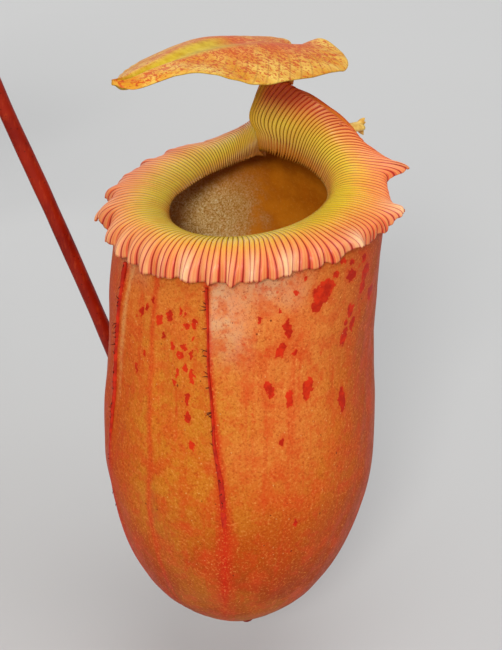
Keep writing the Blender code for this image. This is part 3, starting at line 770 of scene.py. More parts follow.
def build_leaf(name, azimuth, height, scale, shape, age):
    rows, columns = 120, 41
    middle, across, out = leaf_midrib(azimuth, height, scale, shape, rows)
    t = np.linspace(0, 1, rows)[:, None]
    w = np.linspace(-1, 1, columns)[None, :]
    knots = spline(LEAF_HALF_WIDTH, 200)
    half = np.interp(t, knots[:, 0], knots[:, 1]) * (0.75 + 0.25 * scale)
    edge = np.abs(w)
    lift = edge * half * math.tan(LEAF_FOLD) - 1.8 * w * w * half / 26
    bell = np.minimum(1, 6 * t * (1 - t))
    wave = 1.6 * edge**2 * np.sin(21 * t + 1.9 * w + azimuth) * bell
    wave = wave + 0.5 * edge**3 * np.sin(63 * t + 2.3 * np.sign(w) + azimuth) * bell
    groove = -0.55 * hill(w * half, 1.1) * np.minimum(1, 12 * (1 - t))
    pleat = 0.10 * np.sin(edge * LEAF_PLEATS * 2 * np.pi) * np.minimum(1, half / 14)
    grid = middle[:, None] + across * (w * half)[..., None] + UP * (lift + wave + groove + pleat)[..., None]
    rib = 1.5 * hill(w * half, 1.3) * (1.15 - 0.5 * t)
    thick = 0.75 + rib
    values = {"across": np.broadcast_to(w, grid.shape[:2]), "along": np.broadcast_to(t, grid.shape[:2])}
    leaf = sheet_object(name, grid, thick, values)
    keep(leaf, leaf_look(name + "_green", age), "leaf", name)
    step = unit(middle[-1] - middle[-2])
    return middle[-1], step, out


def tendril_look(name, green=0.0):
    look = Look(name, roughness=0.45, specular=0.18)
    along = look.attribute("along")
    broad = look.noise(60.0, 3.0)
    base = look.mix(look.span(broad, 0.3, 0.7), rgb(128, 18, 2), rgb(160, 34, 6))
    if green:
        base = look.mix(look.span(along, 0.0, 0.7, green, 0.15), base, rgb(112, 112, 40))
        base = look.mix(look.span(along, 0.78, 0.95, 0.0, 0.6), base, rgb(156, 116, 46))
    grain = look.noise(1.0, 3.0, 0.6, source=look.scaled((900, 900, 260)))
    base = look.mix(look.span(grain, 0.5, 0.8, 0.0, 0.5), base, rgb(190, 66, 22))
    dots = look.cells(520.0)
    dot = look.span(dots.outputs["Distance"], 0.10, 0.2, 0.6, 0.0)
    base = look.mix(dot, base, rgb(84, 10, 4))
    return look.finish(base, 0.45, look.bump(grain, 0.25, 0.0004))


def build_plant():
    stem_look = Look("stem_bark", roughness=0.7, specular=0.35)
    fibre = stem_look.noise(1.0, 4.0, 0.6, source=stem_look.scaled((500, 500, 60)))
    colour = stem_look.ramp(fibre, ((0.3, rgb(66, 52, 26)), (0.55, rgb(112, 108, 46)),
                                    (0.75, rgb(150, 142, 74))))
    z = np.linspace(118, STEM_TOP_Z, 90)
    path = np.stack([0 * z, 0 * z, z], -1)
    radii = np.interp(z, [118, 140, 180, STEM_TOP_Z], [STEM_R, STEM_R, STEM_TIP_R + 1.2, STEM_TIP_R])
    for row in LEAVES:
        radii = radii + 0.55 * hill(z - row[2] + 2, 1.6)
    stem = tube_object("stem", path, radii, 32)
    keep(stem, stem_look.finish(colour, 0.7, stem_look.bump(fibre, 0.5, 0.0008)), "stem", "stem")

    foot = STEM_TOP_Z - 1.5
    path = spline([(0, 0, foot), (0.5, 0.3, foot + 16), (1.6, 1.0, foot + 34), (3.6, 2.2, foot + 52),
                   (6.5, 3.8, foot + 68)], 60)
    radii = radii_along(60, [0, 0.2, 0.5, 0.8, 1], [3.2, 3.9, 3.3, 2.0, 0.5])
    tip = tube_object("growing_tip", path, radii, 28, squash=0.82)
    tip_look = Look("young_leaf", roughness=0.4, coat=0.1)
    streak = tip_look.noise(1.0, 3.0, source=tip_look.scaled((420, 420, 30)))
    colour = tip_look.ramp(streak, ((0.3, rgb(96, 118, 34)), (0.55, rgb(140, 158, 56)),
                                    (0.8, rgb(176, 120, 56))))
    keep(tip, tip_look.finish(colour, 0.4, tip_look.bump(streak, 0.35, 0.0006)), "young_leaf",
         "growing_tip")

    hero, other = tendril_look("tendril_red"), tendril_look("tendril_green", 0.8)
    for index, row in enumerate(LEAVES, 1):
        tip, direction, out = build_leaf(*row)
        name = f"tendril_{index}"
        if row[0] == HERO_LEAF:
            start = tip - direction * 2.0 - UP * 0.9
            down = [np.array(p) + PITCHER_AT for p in HERO_TENDRIL]
            way = [start, start + direction * 12 - UP * 2.0] + down
            way[-1] = way[-1] + (0, 0, 1.4)
            path = spline(way, 300)
            t = np.linspace(0, 1, 300)
            radii = HERO_TENDRIL_R * (0.45 + 0.55 * smooth(t * 12)) + 0.10 * ripple(t * 40, 3)
            radii = radii + 0.9 * smooth((t - 0.93) / 0.07)
            piece = tube_object(name, path, radii, 28)
            keep(piece, hero, "tendril", name)
            continue
        start = tip - direction * 1.5 - UP * 0.7
        reach = spline(TENDRIL_HANG, 110)
        k = np.linspace(0, 19, 110)
        side = np.cross(out, UP)
        path = start + out * reach[:, :1] + UP * reach[:, 1:] + side * (6 * np.sin(0.25 * k))[:, None]
        t = np.linspace(0, 1, 110)
        bud = np.interp(t, [0, 0.8, 0.87, 0.93, 0.97, 1], [1.0, 1.05, 1.5, 2.0, 1.7, 0.7])
        radii = TENDRIL_R * bud * (1 + 0.03 * ripple(t * 30, index))
        keep(tube_object(name, path, radii, 18), other, "tendril", name)


# ---------------------------------------------------------------- pitcher: shapes


def hang(obj):
    """Places a piece that is built in the pitcher's own frame."""
    obj.rotation_euler = (0, 0, PITCHER_TURN)
    obj.location = Vector(PITCHER_AT * MM)
    return obj


def cup_middle(z):
    """How far the cup's middle lies from the pitcher's axis at this height, along x and y."""
    return table(CUP_LEAN, z), table(CUP_SHIFT, z)


def cup_point(angle, z):
    t = np.clip((CUP_SHOULDER_Z - z) / (CUP_SHOULDER_Z - CUP_BASE_Z), 0, 1)
    swell = spline(CUP_SWELL, 120)
    radius = CUP_R * np.sqrt(np.maximum(0, 1 - t**2.15)) + np.interp(z, swell[:, 0], swell[:, 1])
    turn = (angle + np.pi) % (2 * np.pi) - np.pi
    radius = radius * (1 - 0.07 * hill(turn, math.radians(32)))
    x, y = cup_middle(z)
    return np.stack(np.broadcast_arrays(radius * np.sin(angle) + x, -radius * np.cos(angle) + y, z), -1)


def half_curve(rows, s):
    """A rim curve at s from 0, the front, to 1, the top of the neck, mirrored in x beyond both ends."""
    points = np.array(rows, float)
    flip = np.array([-1, 1, 1])
    whole = np.vstack([points[2] * flip, points[1] * flip, points, points[-2] * flip, points[-3] * flip])
    return through(whole, np.clip(s, -0.08, 1.08) * RIM_STEPS + 1)


def uprightness(s):
    return smooth((s - 0.55) / 0.3)


def rim_section(s, u):
    """Points across the rim: u is 0 at its inner edge, 0.45 on the crest and 1 at its outer edge."""
    inner, crest, outer = (half_curve(rows, s) for rows in (RIM_INNER, RIM_CREST, RIM_OUTER))
    level = np.array([1.0, 1.0, 0.0])
    a = (np.clip(u / 0.45, 0, 1) * np.pi / 2)[..., None]
    b = (np.clip((u - 0.45) / 0.55, 0, 1) * np.pi / 2)[..., None]
    first = inner + (crest - inner) * level * (1 - np.cos(a)) + (crest - inner) * UP * np.sin(a)
    second = crest + (outer - crest) * level * np.sin(b) + (outer - crest) * UP * (1 - np.cos(b))
    u = u[..., None]
    rolled = np.where(u < 0.45, first, second)
    bend = 2 * crest - (inner + outer) / 2
    fanned = (1 - u) ** 2 * inner + 2 * u * (1 - u) * bend + u * u * outer
    upright = uprightness(s)[..., None]
    return (1 - upright) * rolled + upright * fanned


def rim_point(s, u, side):
    """On the rim; side is 1 on the right half and -1 on the left, which lies lower beside the neck."""
    point = rim_section(s, u)
    point[..., 0] *= side
    lean = spline(NECK_LEAN, 60)
    amount = np.where(side > 0, smooth((s - 0.74) / 0.26), smooth((s - 0.84) / 0.16))
    for axis in range(3):
        point[..., axis] += amount * np.interp(u, lean[:, 0], lean[:, axis + 1])
    point[..., 2] -= (side < 0) * table(LEFT_DROP, s) * smooth(u / 0.8)
    return point


def rim_seat(count):
    """The wall's top edge under the rim, all round, with the direction in which the wall meets it."""
    k = np.arange(2 * count)
    s = np.where(k <= count, k, 2 * count - k) / count
    side = np.where(k <= count, 1.0, -1.0)
    upright = uprightness(s)
    at = 0.70 + 0.16 * upright
    here = rim_point(s, at, side)
    over = rim_point(s, at + 0.02, side) - rim_point(s, at - 0.02, side)
    along = np.roll(here, -1, 0) - np.roll(here, 1, 0)
    normal = unit(np.cross(along, over))
    wrong = np.where(upright < 0.5, normal[:, 2] < 0, normal[:, 1] > 0)
    normal = np.where(wrong[:, None], -normal, normal)
    seat = here - normal * (0.9 + 1.9 * upright)[:, None]
    meet = UP + np.stack([-0.55 * here[:, 0] / 45, 0 * s - 0.62, 0 * s], -1) * upright[:, None]
    return seat, unit(meet)


# How far the rim's outer edge stands out, in mm, by place round each side of the rim: 0 is the
# front and 11 the top of the neck.
MARGIN = {
    1: ((0, -0.6), (0.25, 0.1), (0.4, -1.2), (0.58, 0.4), (0.8, -1.1), (1.0, 0.1), (1.18, -1.0),
        (1.37, 0.6), (1.6, -1.1), (1.8, 0.5), (2.1, -1.4), (2.45, -0.3), (2.75, -2.4), (2.95, -1.8),
        (3.12, -2.6), (3.3, -1.9), (3.5, -2.2), (3.72, -0.9), (3.95, -3.2), (4.35, -4.2), (4.7, -3.4),
        (5.0, -0.9), (5.2, 1.5), (5.36, 0.3), (5.6, -3.4), (5.9, -5.0), (6.3, -5.2), (6.6, -3.2),
        (6.85, 1.6), (7.0, 5.2), (7.16, 3.0), (7.5, -1.0), (8.0, -3.0), (8.5, -3.8), (9.0, -4.3),
        (9.5, -3.6), (10.0, -2.8), (11.0, -1.6)),
    -1: ((0, -0.6), (0.3, 0.0), (0.45, -0.8), (0.62, 0.6), (0.82, -1.0), (1.03, 0.9), (1.28, -1.6),
         (1.55, 0.9), (1.75, -1.6), (1.98, -3.8), (2.2, -1.4), (2.37, 2.0), (2.5, -0.6), (2.72, -4.8),
         (2.9, -2.6), (3.07, 0.8), (3.3, -1.2), (3.7, -0.6), (4.1, 0.4), (4.6, -0.2), (5.1, 0.3),
         (5.7, -0.6), (6.5, -1.4), (7.5, -2.0), (9.0, -2.0), (11.0, -1.6)),
}
# Lobes of the rim: side, place, half width, rise in mm, and how pale, the paleness being partly a painted
# highlight on the lobe's top.
LOBES = (
    (1, 0.10, 0.22, 0.5, 0.35), (1, 0.57, 0.28, 1.0, 0.9), (1, 1.00, 0.17, 0.5, 0.35),
    (1, 1.37, 0.22, 0.6, 0.45), (1, 1.80, 0.24, 1.0, 0.9), (1, 2.45, 0.32, 1.4, 1.0),
    (1, 2.95, 0.18, 0.5, 0.25), (1, 3.30, 0.20, 0.6, 0.3), (1, 3.72, 0.40, 1.9, 1.0),
    (1, 5.20, 0.55, 2.6, 0.8), (1, 7.00, 0.50, 1.8, 0.3), (1, 8.40, 0.25, 0.4, 0.0),
    (-1, 0.30, 0.20, 0.7, 0.55), (-1, 0.62, 0.20, 0.8, 0.4), (-1, 1.03, 0.24, 1.0, 0.55),
    (-1, 1.55, 0.28, 1.2, 0.5), (-1, 2.37, 0.36, 1.7, 0.55), (-1, 3.07, 0.30, 1.4, 0.2),
    (-1, 3.70, 0.22, 0.5, 0.1), (-1, 4.40, 0.25, 0.5, 0.0), (-1, 5.10, 0.25, 0.5, 0.0),
)


def rib_places():
    """s at each evenly spaced step of rib number, for half the rim."""
    s = np.linspace(0, 1, 800)
    density = table(((0, 92), (0.2, 92), (0.4, 94), (0.65, 98), (0.85, 80), (1, 62)), s)
    number = np.concatenate([[0], np.cumsum((density[1:] + density[:-1]) / 2 * np.diff(s))])
    number *= RIBS / number[-1]
    return number, s


def rim_grid(samples, across):
    """The rim's upper surface with its ribs, and what its material needs to know at each point."""
    number, s_of = rib_places()
    total = RIBS * samples
    k = np.arange(2 * total)
    p = np.where(k <= total, k, 2 * total - k) / samples
    side = np.where(k <= total, 1.0, -1.0)[:, None] + np.zeros((1, across))
    # ribs differ a little in width
    bent = p + 0.22 * np.sin(np.pi * p) ** 2 * ripple(p * 0.8 + side[:, 0] * 3, 61)
    s0 = np.interp(bent, number, s_of)[:, None] + np.zeros((1, across))
    u = np.linspace(0, 1, across)[None, :] + np.zeros_like(s0)
    place = s0 * RIM_STEPS
    ends = smooth(s0 / 0.03) * smooth((1 - s0) / 0.03)
    drift = 0.006 * ripple(place * 0.9 + side * 2.0, 21) * np.sin(np.pi * u)
    drift = drift + 0.004 * ripple(place * 2.3 + side, 4) * u**2
    pull, rise, pale, lobe = (np.zeros_like(s0) for _ in range(4))
    for which, at, width, height, light in LOBES:
        gap = place - at
        near = hill(gap, width) * (side == which)
        pull = pull - 0.66 * gap * near
        rise = rise + height * hill(gap, 0.75 * width) * (side == which)
        # the lobes' paleness, partly a painted highlight on their tops
        pale = np.maximum(pale, light * hill(gap, 0.62 * width) * (side == which))
        lobe = np.maximum(lobe, hill(gap, 0.8 * width) * (side == which))
    s = np.clip(s0 + ends * (drift + pull * smooth((u - 0.52) / 0.48) / RIM_STEPS), 0, 1)
    grid = rim_point(s, u, side)
    flip = np.stack([side, 0 * side + 1, 0 * side + 1], -1)
    out = sum((side == which) * table(rows, s * RIM_STEPS) for which, rows in MARGIN.items())
    crest, outer = half_curve(RIM_CREST, s) * flip, half_curve(RIM_OUTER, s) * flip
    flare = unit((outer - crest) * [1, 1, 0.12])
    lift = smooth((u - 0.60) / 0.40)
    level = 1 - uprightness(s0)
    grid = grid + flare * (out * lift**1.2)[..., None]
    grid[..., 2] += (rise * lift**0.8 - 1.2 * (1 - lobe) * lift * smooth((place - 2.8) / 1.5)) * level
    frill = ripple(place * 6.5 + 3 * side, 17)
    grid[..., 2] += 0.9 * frill * smooth((u - 0.62) / 0.38) * level
    grid = grid + flare * (0.7 * np.roll(frill, 9, 0) * lift**2 * level)[..., None]
    normal = grid_normals(grid)
    normal = -normal if normal[:, across // 2, 2].mean() < 0 else normal
    phase = p - np.floor(p)
    gap = (1 - np.abs(2 * phase - 1))[:, None]
    crown = 1 - (1 - gap) ** 5
    deep = table(((0, 0.34), (0.1, 0.40), (0.5, 0.36), (0.85, 0.34), (1, 0.24)), u)
    grid = grid + normal * (deep * (crown - 1))[..., None]
    inward = unit(crest - half_curve(RIM_INNER, s) * flip)
    fang = table(((0, 0.5), (0.5, 1.0), (0.72, 2.2), (0.86, 5.0), (1, 5.6)), s0)
    grid = grid - inward * (fang * ((1 - (1 - gap) ** 1.4) - 0.30) * smooth((0.09 - u) / 0.09))[..., None]
    values = {"across": u, "round": s0, "groove": hill(gap, 0.20) + 0 * u,
              "pale": pale * smooth((u - 0.56) / 0.26) * (1 - smooth((u - 0.975) / 0.03)),
              "lobe": lobe, "rib": p[:, None] + 0 * u, "left": (side < 0) * 1.0}
    return grid, normal, values


def build_rim(material):
    across = 40
    grid, normal, values = rim_grid(8, across)
    rows = len(grid)
    pick = np.array([0, 1, 3, 6, 10, 16, 22, 28, 33, 36, 38, 39])
    thick = table(((0, 0.5), (0.15, 1.3), (0.8, 1.3), (1, 0.7)), values["across"])
    under = (grid - normal * thick[..., None])[:, pick]
    top, _ = quads(across, rows, wrap=True)
    low, _ = quads(len(pick), rows, wrap=True, start=rows * across)
    points = np.concatenate([grid.transpose(1, 0, 2).reshape(-1, 3),
                             under.transpose(1, 0, 2).reshape(-1, 3)])
    base = rows * across
    k = np.arange(rows)
    n = (k + 1) % rows
    inner = np.stack([k, base + k, base + n, n], -1)
    out_top, out_low = (across - 1) * rows, base + (len(pick) - 1) * rows
    outer = np.stack([out_top + k, out_top + n, out_low + n, out_low + k], -1)
    faces = np.concatenate([top, low[:, ::-1], inner, outer])
    data = {key: np.concatenate([v.T.ravel(), v[:, pick].T.ravel()]) for key, v in values.items()}
    data["under"] = np.concatenate([np.zeros(base), np.ones(len(points) - base)])
    rim = recalculate(mesh_object("peristome", points, faces, data))
    keep(hang(rim), material, "pitcher_rim", "peristome")


def build_cup(material):
    half = 120
    seat, meet = rim_seat(half)
    seat = seat + UP * 0.4
    x, y = cup_middle(CUP_STRAIGHT_Z)
    angles = np.unwrap(np.arctan2(seat[:, 0] - x, -(seat[:, 1] - y)))
    low = CUP_BASE_Z + (CUP_STRAIGHT_Z - CUP_BASE_Z) * np.linspace(0.012, 1, 80) ** 1.7
    lower = cup_point(angles[None, :], low[:, None])
    start = cup_point(angles, CUP_STRAIGHT_Z + 0 * angles)
    reach = 0.36 * np.linalg.norm(seat - start, axis=-1, keepdims=True)
    one, two = start + np.array([0, 0.1, 1.0]) * reach, seat - meet * reach
    t = np.linspace(0, 1, 32)[1:, None, None]
    upper = (1 - t) ** 3 * start + 3 * t * (1 - t) ** 2 * one + 3 * t * t * (1 - t) * two + t**3 * seat
    outer = np.concatenate([lower, upper])
    rows, columns = outer.shape[:2]
    turn = (np.degrees(angles) + 180) % 360 - 180
    height = outer[..., 2]
    # gentle unevenness: the ribs under the wings with a hollow beside each, and shallow swells
    across = grid_normals(outer, wrap=True)
    if (across[rows // 2] * (outer[rows // 2] - outer[rows // 2].mean(0))).sum() < 0:
        across = -across
    swell = 0.35 * ripple(angles[None, :] * 2 + height * 0.03, 31)
    swell = swell + 0.18 * ripple(angles[None, :] * 7 - height * 0.05, 32)
    wing = table(WING_ANGLE, height)
    ridge = sum(hill(turn[None, :] - sign * wing, 3.2) for sign in (-1, 1))
    valley = sum(hill(turn[None, :] - sign * (wing + 7), 6) for sign in (-1, 1))
    fade = smooth((height - 14) / 20) * (1 - smooth((height - 140) / 8))
    relief = swell * smooth(height / 30) + 0.55 * ridge * fade - 0.25 * valley * fade
    outer = outer + across * relief[..., None]
    inner = outer - across * CUP_WALL
    points = np.concatenate([outer.reshape(-1, 3), inner.reshape(-1, 3)])
    count = rows * columns
    top, places = quads(rows, columns, wrap=True)
    index = np.arange(columns)
    nxt = (index + 1) % columns
    last = (rows - 1) * columns
    lip = np.stack([last + index, last + nxt, count + last + nxt, count + last + index], -1)
    faces = np.concatenate([top, top[:, ::-1] + count, lip])
    degrees = np.degrees(angles)
    degrees = degrees - 360 * np.round(degrees[0] / 360)
    turn_step = np.append(degrees, degrees[0] + 360 * np.sign(degrees[-1] - degrees[0]))
    level = height / WALL_UV_HEIGHT
    uv_top = np.stack([turn_step[places[:, 1]] / 360, level[places[:, 0], places[:, 1] % columns]], -1)
    uv_low = uv_top.reshape(-1, 4, 2)[:, ::-1].reshape(-1, 2)
    uv = np.concatenate([uv_top, uv_low, np.zeros((len(lip) * 4, 2))])
    lip_uv = np.stack([turn_step[index] / 360, level[-1]], -1)
    uv[-len(lip) * 4:] = np.repeat(lip_uv, 4, 0)
    inside = np.concatenate([np.zeros(count), np.ones(count)])
    cup = mesh_object("pitcher_cup", points, faces, {"inside": inside}, uv)
    build = bmesh.new()
    build.from_mesh(cup.data)
    build.verts.ensure_lookup_table()
    layer = build.loops.layers.uv.verify()
    for first, flip in ((0, True), (count, False)):
        ring = [build.verts[first + i] for i in range(columns)]
        face = build.faces.new(ring[::-1] if flip else ring)
        face.smooth = True
        for loop in face.loops:
            loop[layer].uv = (0.1, 0.03)
    bmesh.ops.recalc_face_normals(build, faces=build.faces)
    build.to_mesh(cup.data)
    build.free()
    keep(hang(cup), material, "pitcher_wall", "pitcher_cup")


def lid_points(t, w):
    """On the lid: t runs from its base to its tip and w from -1, its left edge, to 1."""
    at = t * (len(LID_MIDLINE) - 1)
    middle, right, left = (through(with_ends(rows), at) for rows in (LID_MIDLINE, LID_RIGHT, LID_LEFT))
    edge = np.where((w > 0)[..., None], right, left)
    a = np.abs(w)
    pinch = 1 - 0.30 * (w < 0) * smooth((t - 0.78) / 0.14)
    point = middle + (edge - middle) * (a * pinch)[..., None]
    rise = 5.0 * a * (1 - a) * np.minimum(1, 5 * t + 0.1)
    groove = -1.3 * hill(w, 0.11) * smooth((t - 0.30) / 0.25) * (1 - smooth((t - 0.92) / 0.08))
    shoulder = 0.5 * hill(a - 0.25, 0.12) * smooth((t - 0.3) / 0.25)
    wave = np.where(w > 0, 0.4, 1.0) * a**3 * np.sin(t * 13 + 1.2 * np.sign(w))
    wave = wave * smooth(t / 0.15) * smooth((1 - t) / 0.1)
    wave = wave + 1.5 * (w > 0) * a**2 * hill(t - 0.76, 0.10)
    fine = 0.25 * a**2 * ripple(t * 30 + np.sign(w), 41)
    return point + UP * (rise + groove + shoulder + wave + fine)[..., None]


def build_lid(material):
    rows, columns = 130, 91
    t = np.linspace(0, 1, rows)[:, None] + np.zeros((1, columns))
    w = np.linspace(-1, 1, columns)[None, :] + np.zeros((rows, 1))
    grid = lid_points(t, w)
    thick = 0.9 + 0.9 * hill(w, 0.10) - 0.4 * smooth((np.abs(w) - 0.8) / 0.2)
    thick = thick * (1 - 0.75 * smooth((t - 0.86) / 0.12))
    lid = sheet_object("lid", grid, thick, {"across": w, "along": t})
    keep(hang(lid), material, "pitcher_lid", "lid")
    stalk = spline([(0, 24.5, 192.5), (0, 24.6, 197), (0, 21.0, 201), (0, 13, 204.6), (0, 2, 208)], 24)
    radii = radii_along(24, [0, 0.3, 0.6, 1], [2.2, 2.8, 2.6, 1.0])
    keep(hang(tube_object("lid_stalk", stalk, radii, 20, 0.55)), material, "pitcher_lid")


def build_wings(flesh, bristle):
    """Two ribs up the front, each with its row of bristles."""
    rng = np.random.default_rng(7)
    for name, side in (("wing_left", -1), ("wing_right", 1)):
        count = 150
        z = np.linspace(16, 143, count)
        t = (z - 22) / 115
        turn = side * np.radians(table(WING_ANGLE, z) + 0.8 * ripple(z * 0.045, 51) * smooth((z - 30) / 30))
        root = cup_point(turn, np.minimum(z, CUP_STRAIGHT_Z))
        root = root + np.array([0, 0.1, 1.0]) * np.maximum(0, z - CUP_STRAIGHT_Z)[:, None]
        outward = np.stack([np.sin(turn), -np.cos(turn), 0 * turn], -1)
        sideways = np.stack([np.cos(turn), np.sin(turn), 0 * turn], -1)
        high = table(((-0.1, 0.05), (0.25, 0.1), (0.45, 0.35), (0.6, 0.8), (0.85, 1.5), (1.06, 0.8)), t)
        high = high + 0.2 * ripple(z * 0.6, 52) * smooth(t / 0.5)
        broad = table(((-0.1, 1.3), (0.3, 1.4), (0.55, 0.85), (0.75, 0.55), (1.06, 0.5)), t)
        stand = table(((-0.1, -0.9), (0.25, -0.5), (0.42, -0.05), (0.6, 0.28), (1.0, 0.35)), t)
        layers = [(-0.5, 1.0), (0.25, 0.75), (0.7, 0.45), (1.0, 0.22)]
        rings = []
        for sign in (1, -1):
            for up, wide in layers if sign > 0 else layers[::-1]:
                rings.append(root + outward * (stand + up * high)[:, None]
                             + sideways * (sign * wide * broad)[:, None])
        ring = np.stack(rings, 1)
        faces = [tuple(f) for f in quads(count, 8, wrap=True)[0]]
        faces += [tuple(range(7, -1, -1)), tuple(range((count - 1) * 8, count * 8))]
        wing = recalculate(mesh_object(name, ring.reshape(-1, 3), faces))
        keep(hang(wing), flesh, "pitcher_wing", name)
        parts = []
        for _ in range(WING_HAIRS):
            f = 1.0 - 0.72 * rng.random() ** 1.3
            i = int(f * (count - 1))
            length = rng.uniform(0.8, 2.6) * (0.35 + 0.75 * smooth((t[i] - 0.4) / 0.35))
            lean = 0.55 * outward[i] - sideways[i] * side * rng.uniform(0.3, 1.0)
            lean = lean + UP * rng.uniform(-0.2, 0.7)
            base = root[i] + outward[i] * (0.2 + high[i] * 0.85)
            u = np.linspace(0, 1, 7)[:, None]
            path = base + unit(lean) * u * length + UP * (u**2) * rng.uniform(-0.9, 0.9)
            parts.append(tube_data(path, np.array([0.20, 0.18, 0.16, 0.14, 0.11, 0.08, 0.04]), 5))
            if rng.random() < 0.6 and length > 1.5:
                fork = path[3] + (unit(lean) + UP * rng.uniform(-1.0, 1.0)) * u[:5] * length * 0.5
                parts.append(tube_data(fork, np.array([0.13, 0.11, 0.09, 0.07, 0.04]), 5))
        points, faces = join_data(parts)
        hairs = recalculate(mesh_object(name + "_hairs", points, faces))
        keep(hang(hairs), bristle, "pitcher_wing")


def build_spur(material):
    """A flat tab whose end splits into short points."""
    trunk = spline([(0, 37.6, 165.2), (0.1, 46, 167.6), (0.4, 55, 169.2), (0.8, 63, 168.6)], 24)
    side = np.array([1.0, 0, 0])
    parts = [tube_data(trunk, radii_along(24, [0, 0.6, 1], [2.6, 2.9, 3.0]), 16, 0.5)]
    for lift, out, size in ((2.6, 4.2, 1.25), (-3.4, 3.2, 1.3), (-0.6, 4.6, 1.2), (1.0, 5.2, 1.0)):
        aim = np.array([0.3, out * 0.55, lift])
        tip = spline([trunk[15], trunk[-2] + aim * 0.25, trunk[-1] + aim * 0.7,
                      trunk[-1] + aim + side * 0.4], 14)
        parts.append(tube_data(tip, radii_along(14, [0, 0.6, 1], [1.7, size, 0.25]), 10, 0.6))
    points, faces = join_data(parts)
    keep(hang(recalculate(mesh_object("spur", points, faces))), material, "pitcher_lid", "spur")


# ---------------------------------------------------------------- pitcher: materials

# The wall's texture plane in mm: its length once round the cup and the height that fills it.
WALL_ROUND = 285.0
WALL_UV_HEIGHT = 200.0
# Larger red blotches on the wall: degrees round from the front, height, half sizes in mm, and slant.
BLOTCHES = (
    (76.0, 142.0, 3.2, 2.8, 0.0), (73.5, 139.5, 3.6, 3.6, 0.4), (71.5, 136.0, 2.2, 2.8, 0.2),
    (58.5, 130.0, 1.4, 3.6, -0.15), (56.0, 123.0, 1.8, 3.0, 0.1), (52.5, 110.0, 1.4, 3.3, -0.25),
    (60.5, 105.5, 1.3, 3.4, 0.1), (69.0, 108.5, 1.9, 4.4, 0.3), (87.0, 101.0, 1.7, 4.6, -0.05),
    (87.0, 122.0, 1.8, 3.0, 0.25), (92.0, 125.5, 1.5, 2.8, 0.15), (89.5, 131.0, 1.9, 2.7, 0.0),
    (87.5, 143.5, 1.9, 2.3, 0.0), (80.0, 145.5, 1.3, 1.8, 0.0), (96.5, 143.0, 2.0, 3.0, 0.0),
    (96.0, 137.5, 1.7, 2.8, 0.1), (104.0, 133.0, 2.0, 3.4, 0.0), (87.5, 148.5, 1.2, 1.0, 0.0),
    (62.0, 141.5, 1.0, 1.0, 0.0), (47.0, 133.5, 1.0, 1.2, 0.0), (62.5, 121.5, 0.8, 1.1, 0.0),
    (87.0, 127.0, 0.9, 1.2, 0.0), (65.0, 61.5, 0.8, 1.5, 0.0), (-10.5, 129.5, 1.0, 1.9, 0.1),
    (-7.5, 131.5, 0.9, 1.1, 0.0), (0.5, 128.5, 1.2, 2.1, 0.2), (6.0, 131.0, 1.1, 2.2, 0.2),
    (11.5, 133.0, 0.8, 1.3, 0.0), (18.5, 130.5, 1.3, 1.6, 0.3), (15.0, 129.0, 1.4, 1.2, -0.5),
    (8.5, 121.0, 0.9, 1.9, 0.0), (14.5, 121.5, 1.3, 1.2, 0.4), (12.5, 118.5, 1.6, 1.8, 0.5),
    (18.0, 119.5, 1.1, 1.6, 0.0), (15.5, 115.0, 0.9, 1.7, 0.2), (11.5, 113.0, 0.9, 1.6, 0.0),
    (19.0, 112.5, 1.1, 2.4, 0.0), (10.0, 109.0, 0.8, 1.2, 0.0), (17.0, 104.5, 1.1, 2.2, 0.0),
    (17.0, 98.5, 1.3, 2.2, 0.2), (19.5, 89.0, 1.5, 2.0, -0.3), (72.0, 149.0, 1.1, 0.9, 0.0),
    (78.0, 150.5, 1.2, 0.9, 0.2), (83.0, 149.5, 1.3, 1.1, 0.0), (66.0, 146.0, 0.9, 0.8, 0.0),
    (94.0, 148.0, 1.3, 1.8, 0.0), (57.5, 91.5, 1.1, 1.6, 0.2), (55.0, 136.0, 0.9, 0.7, 0.0),
    (14.0, 133.0, 0.7, 0.9, 0.0), (19.0, 125.5, 0.7, 1.1, 0.0), (-4.0, 134.5, 0.9, 1.0, 0.3),
    (3.0, 124.0, 0.6, 1.2, 0.0), (-12.5, 109.5, 0.7, 1.9, 0.0), (-7.5, 115.5, 0.6, 1.4, 0.0),
    (128.0, 118.0, 1.8, 3.6, 0.1), (-62.0, 120.0, 1.6, 3.2, 0.0), (-92.0, 130.0, 2.0, 2.6, 0.2),
    (156.0, 128.0, 1.8, 3.0, 0.0),
)


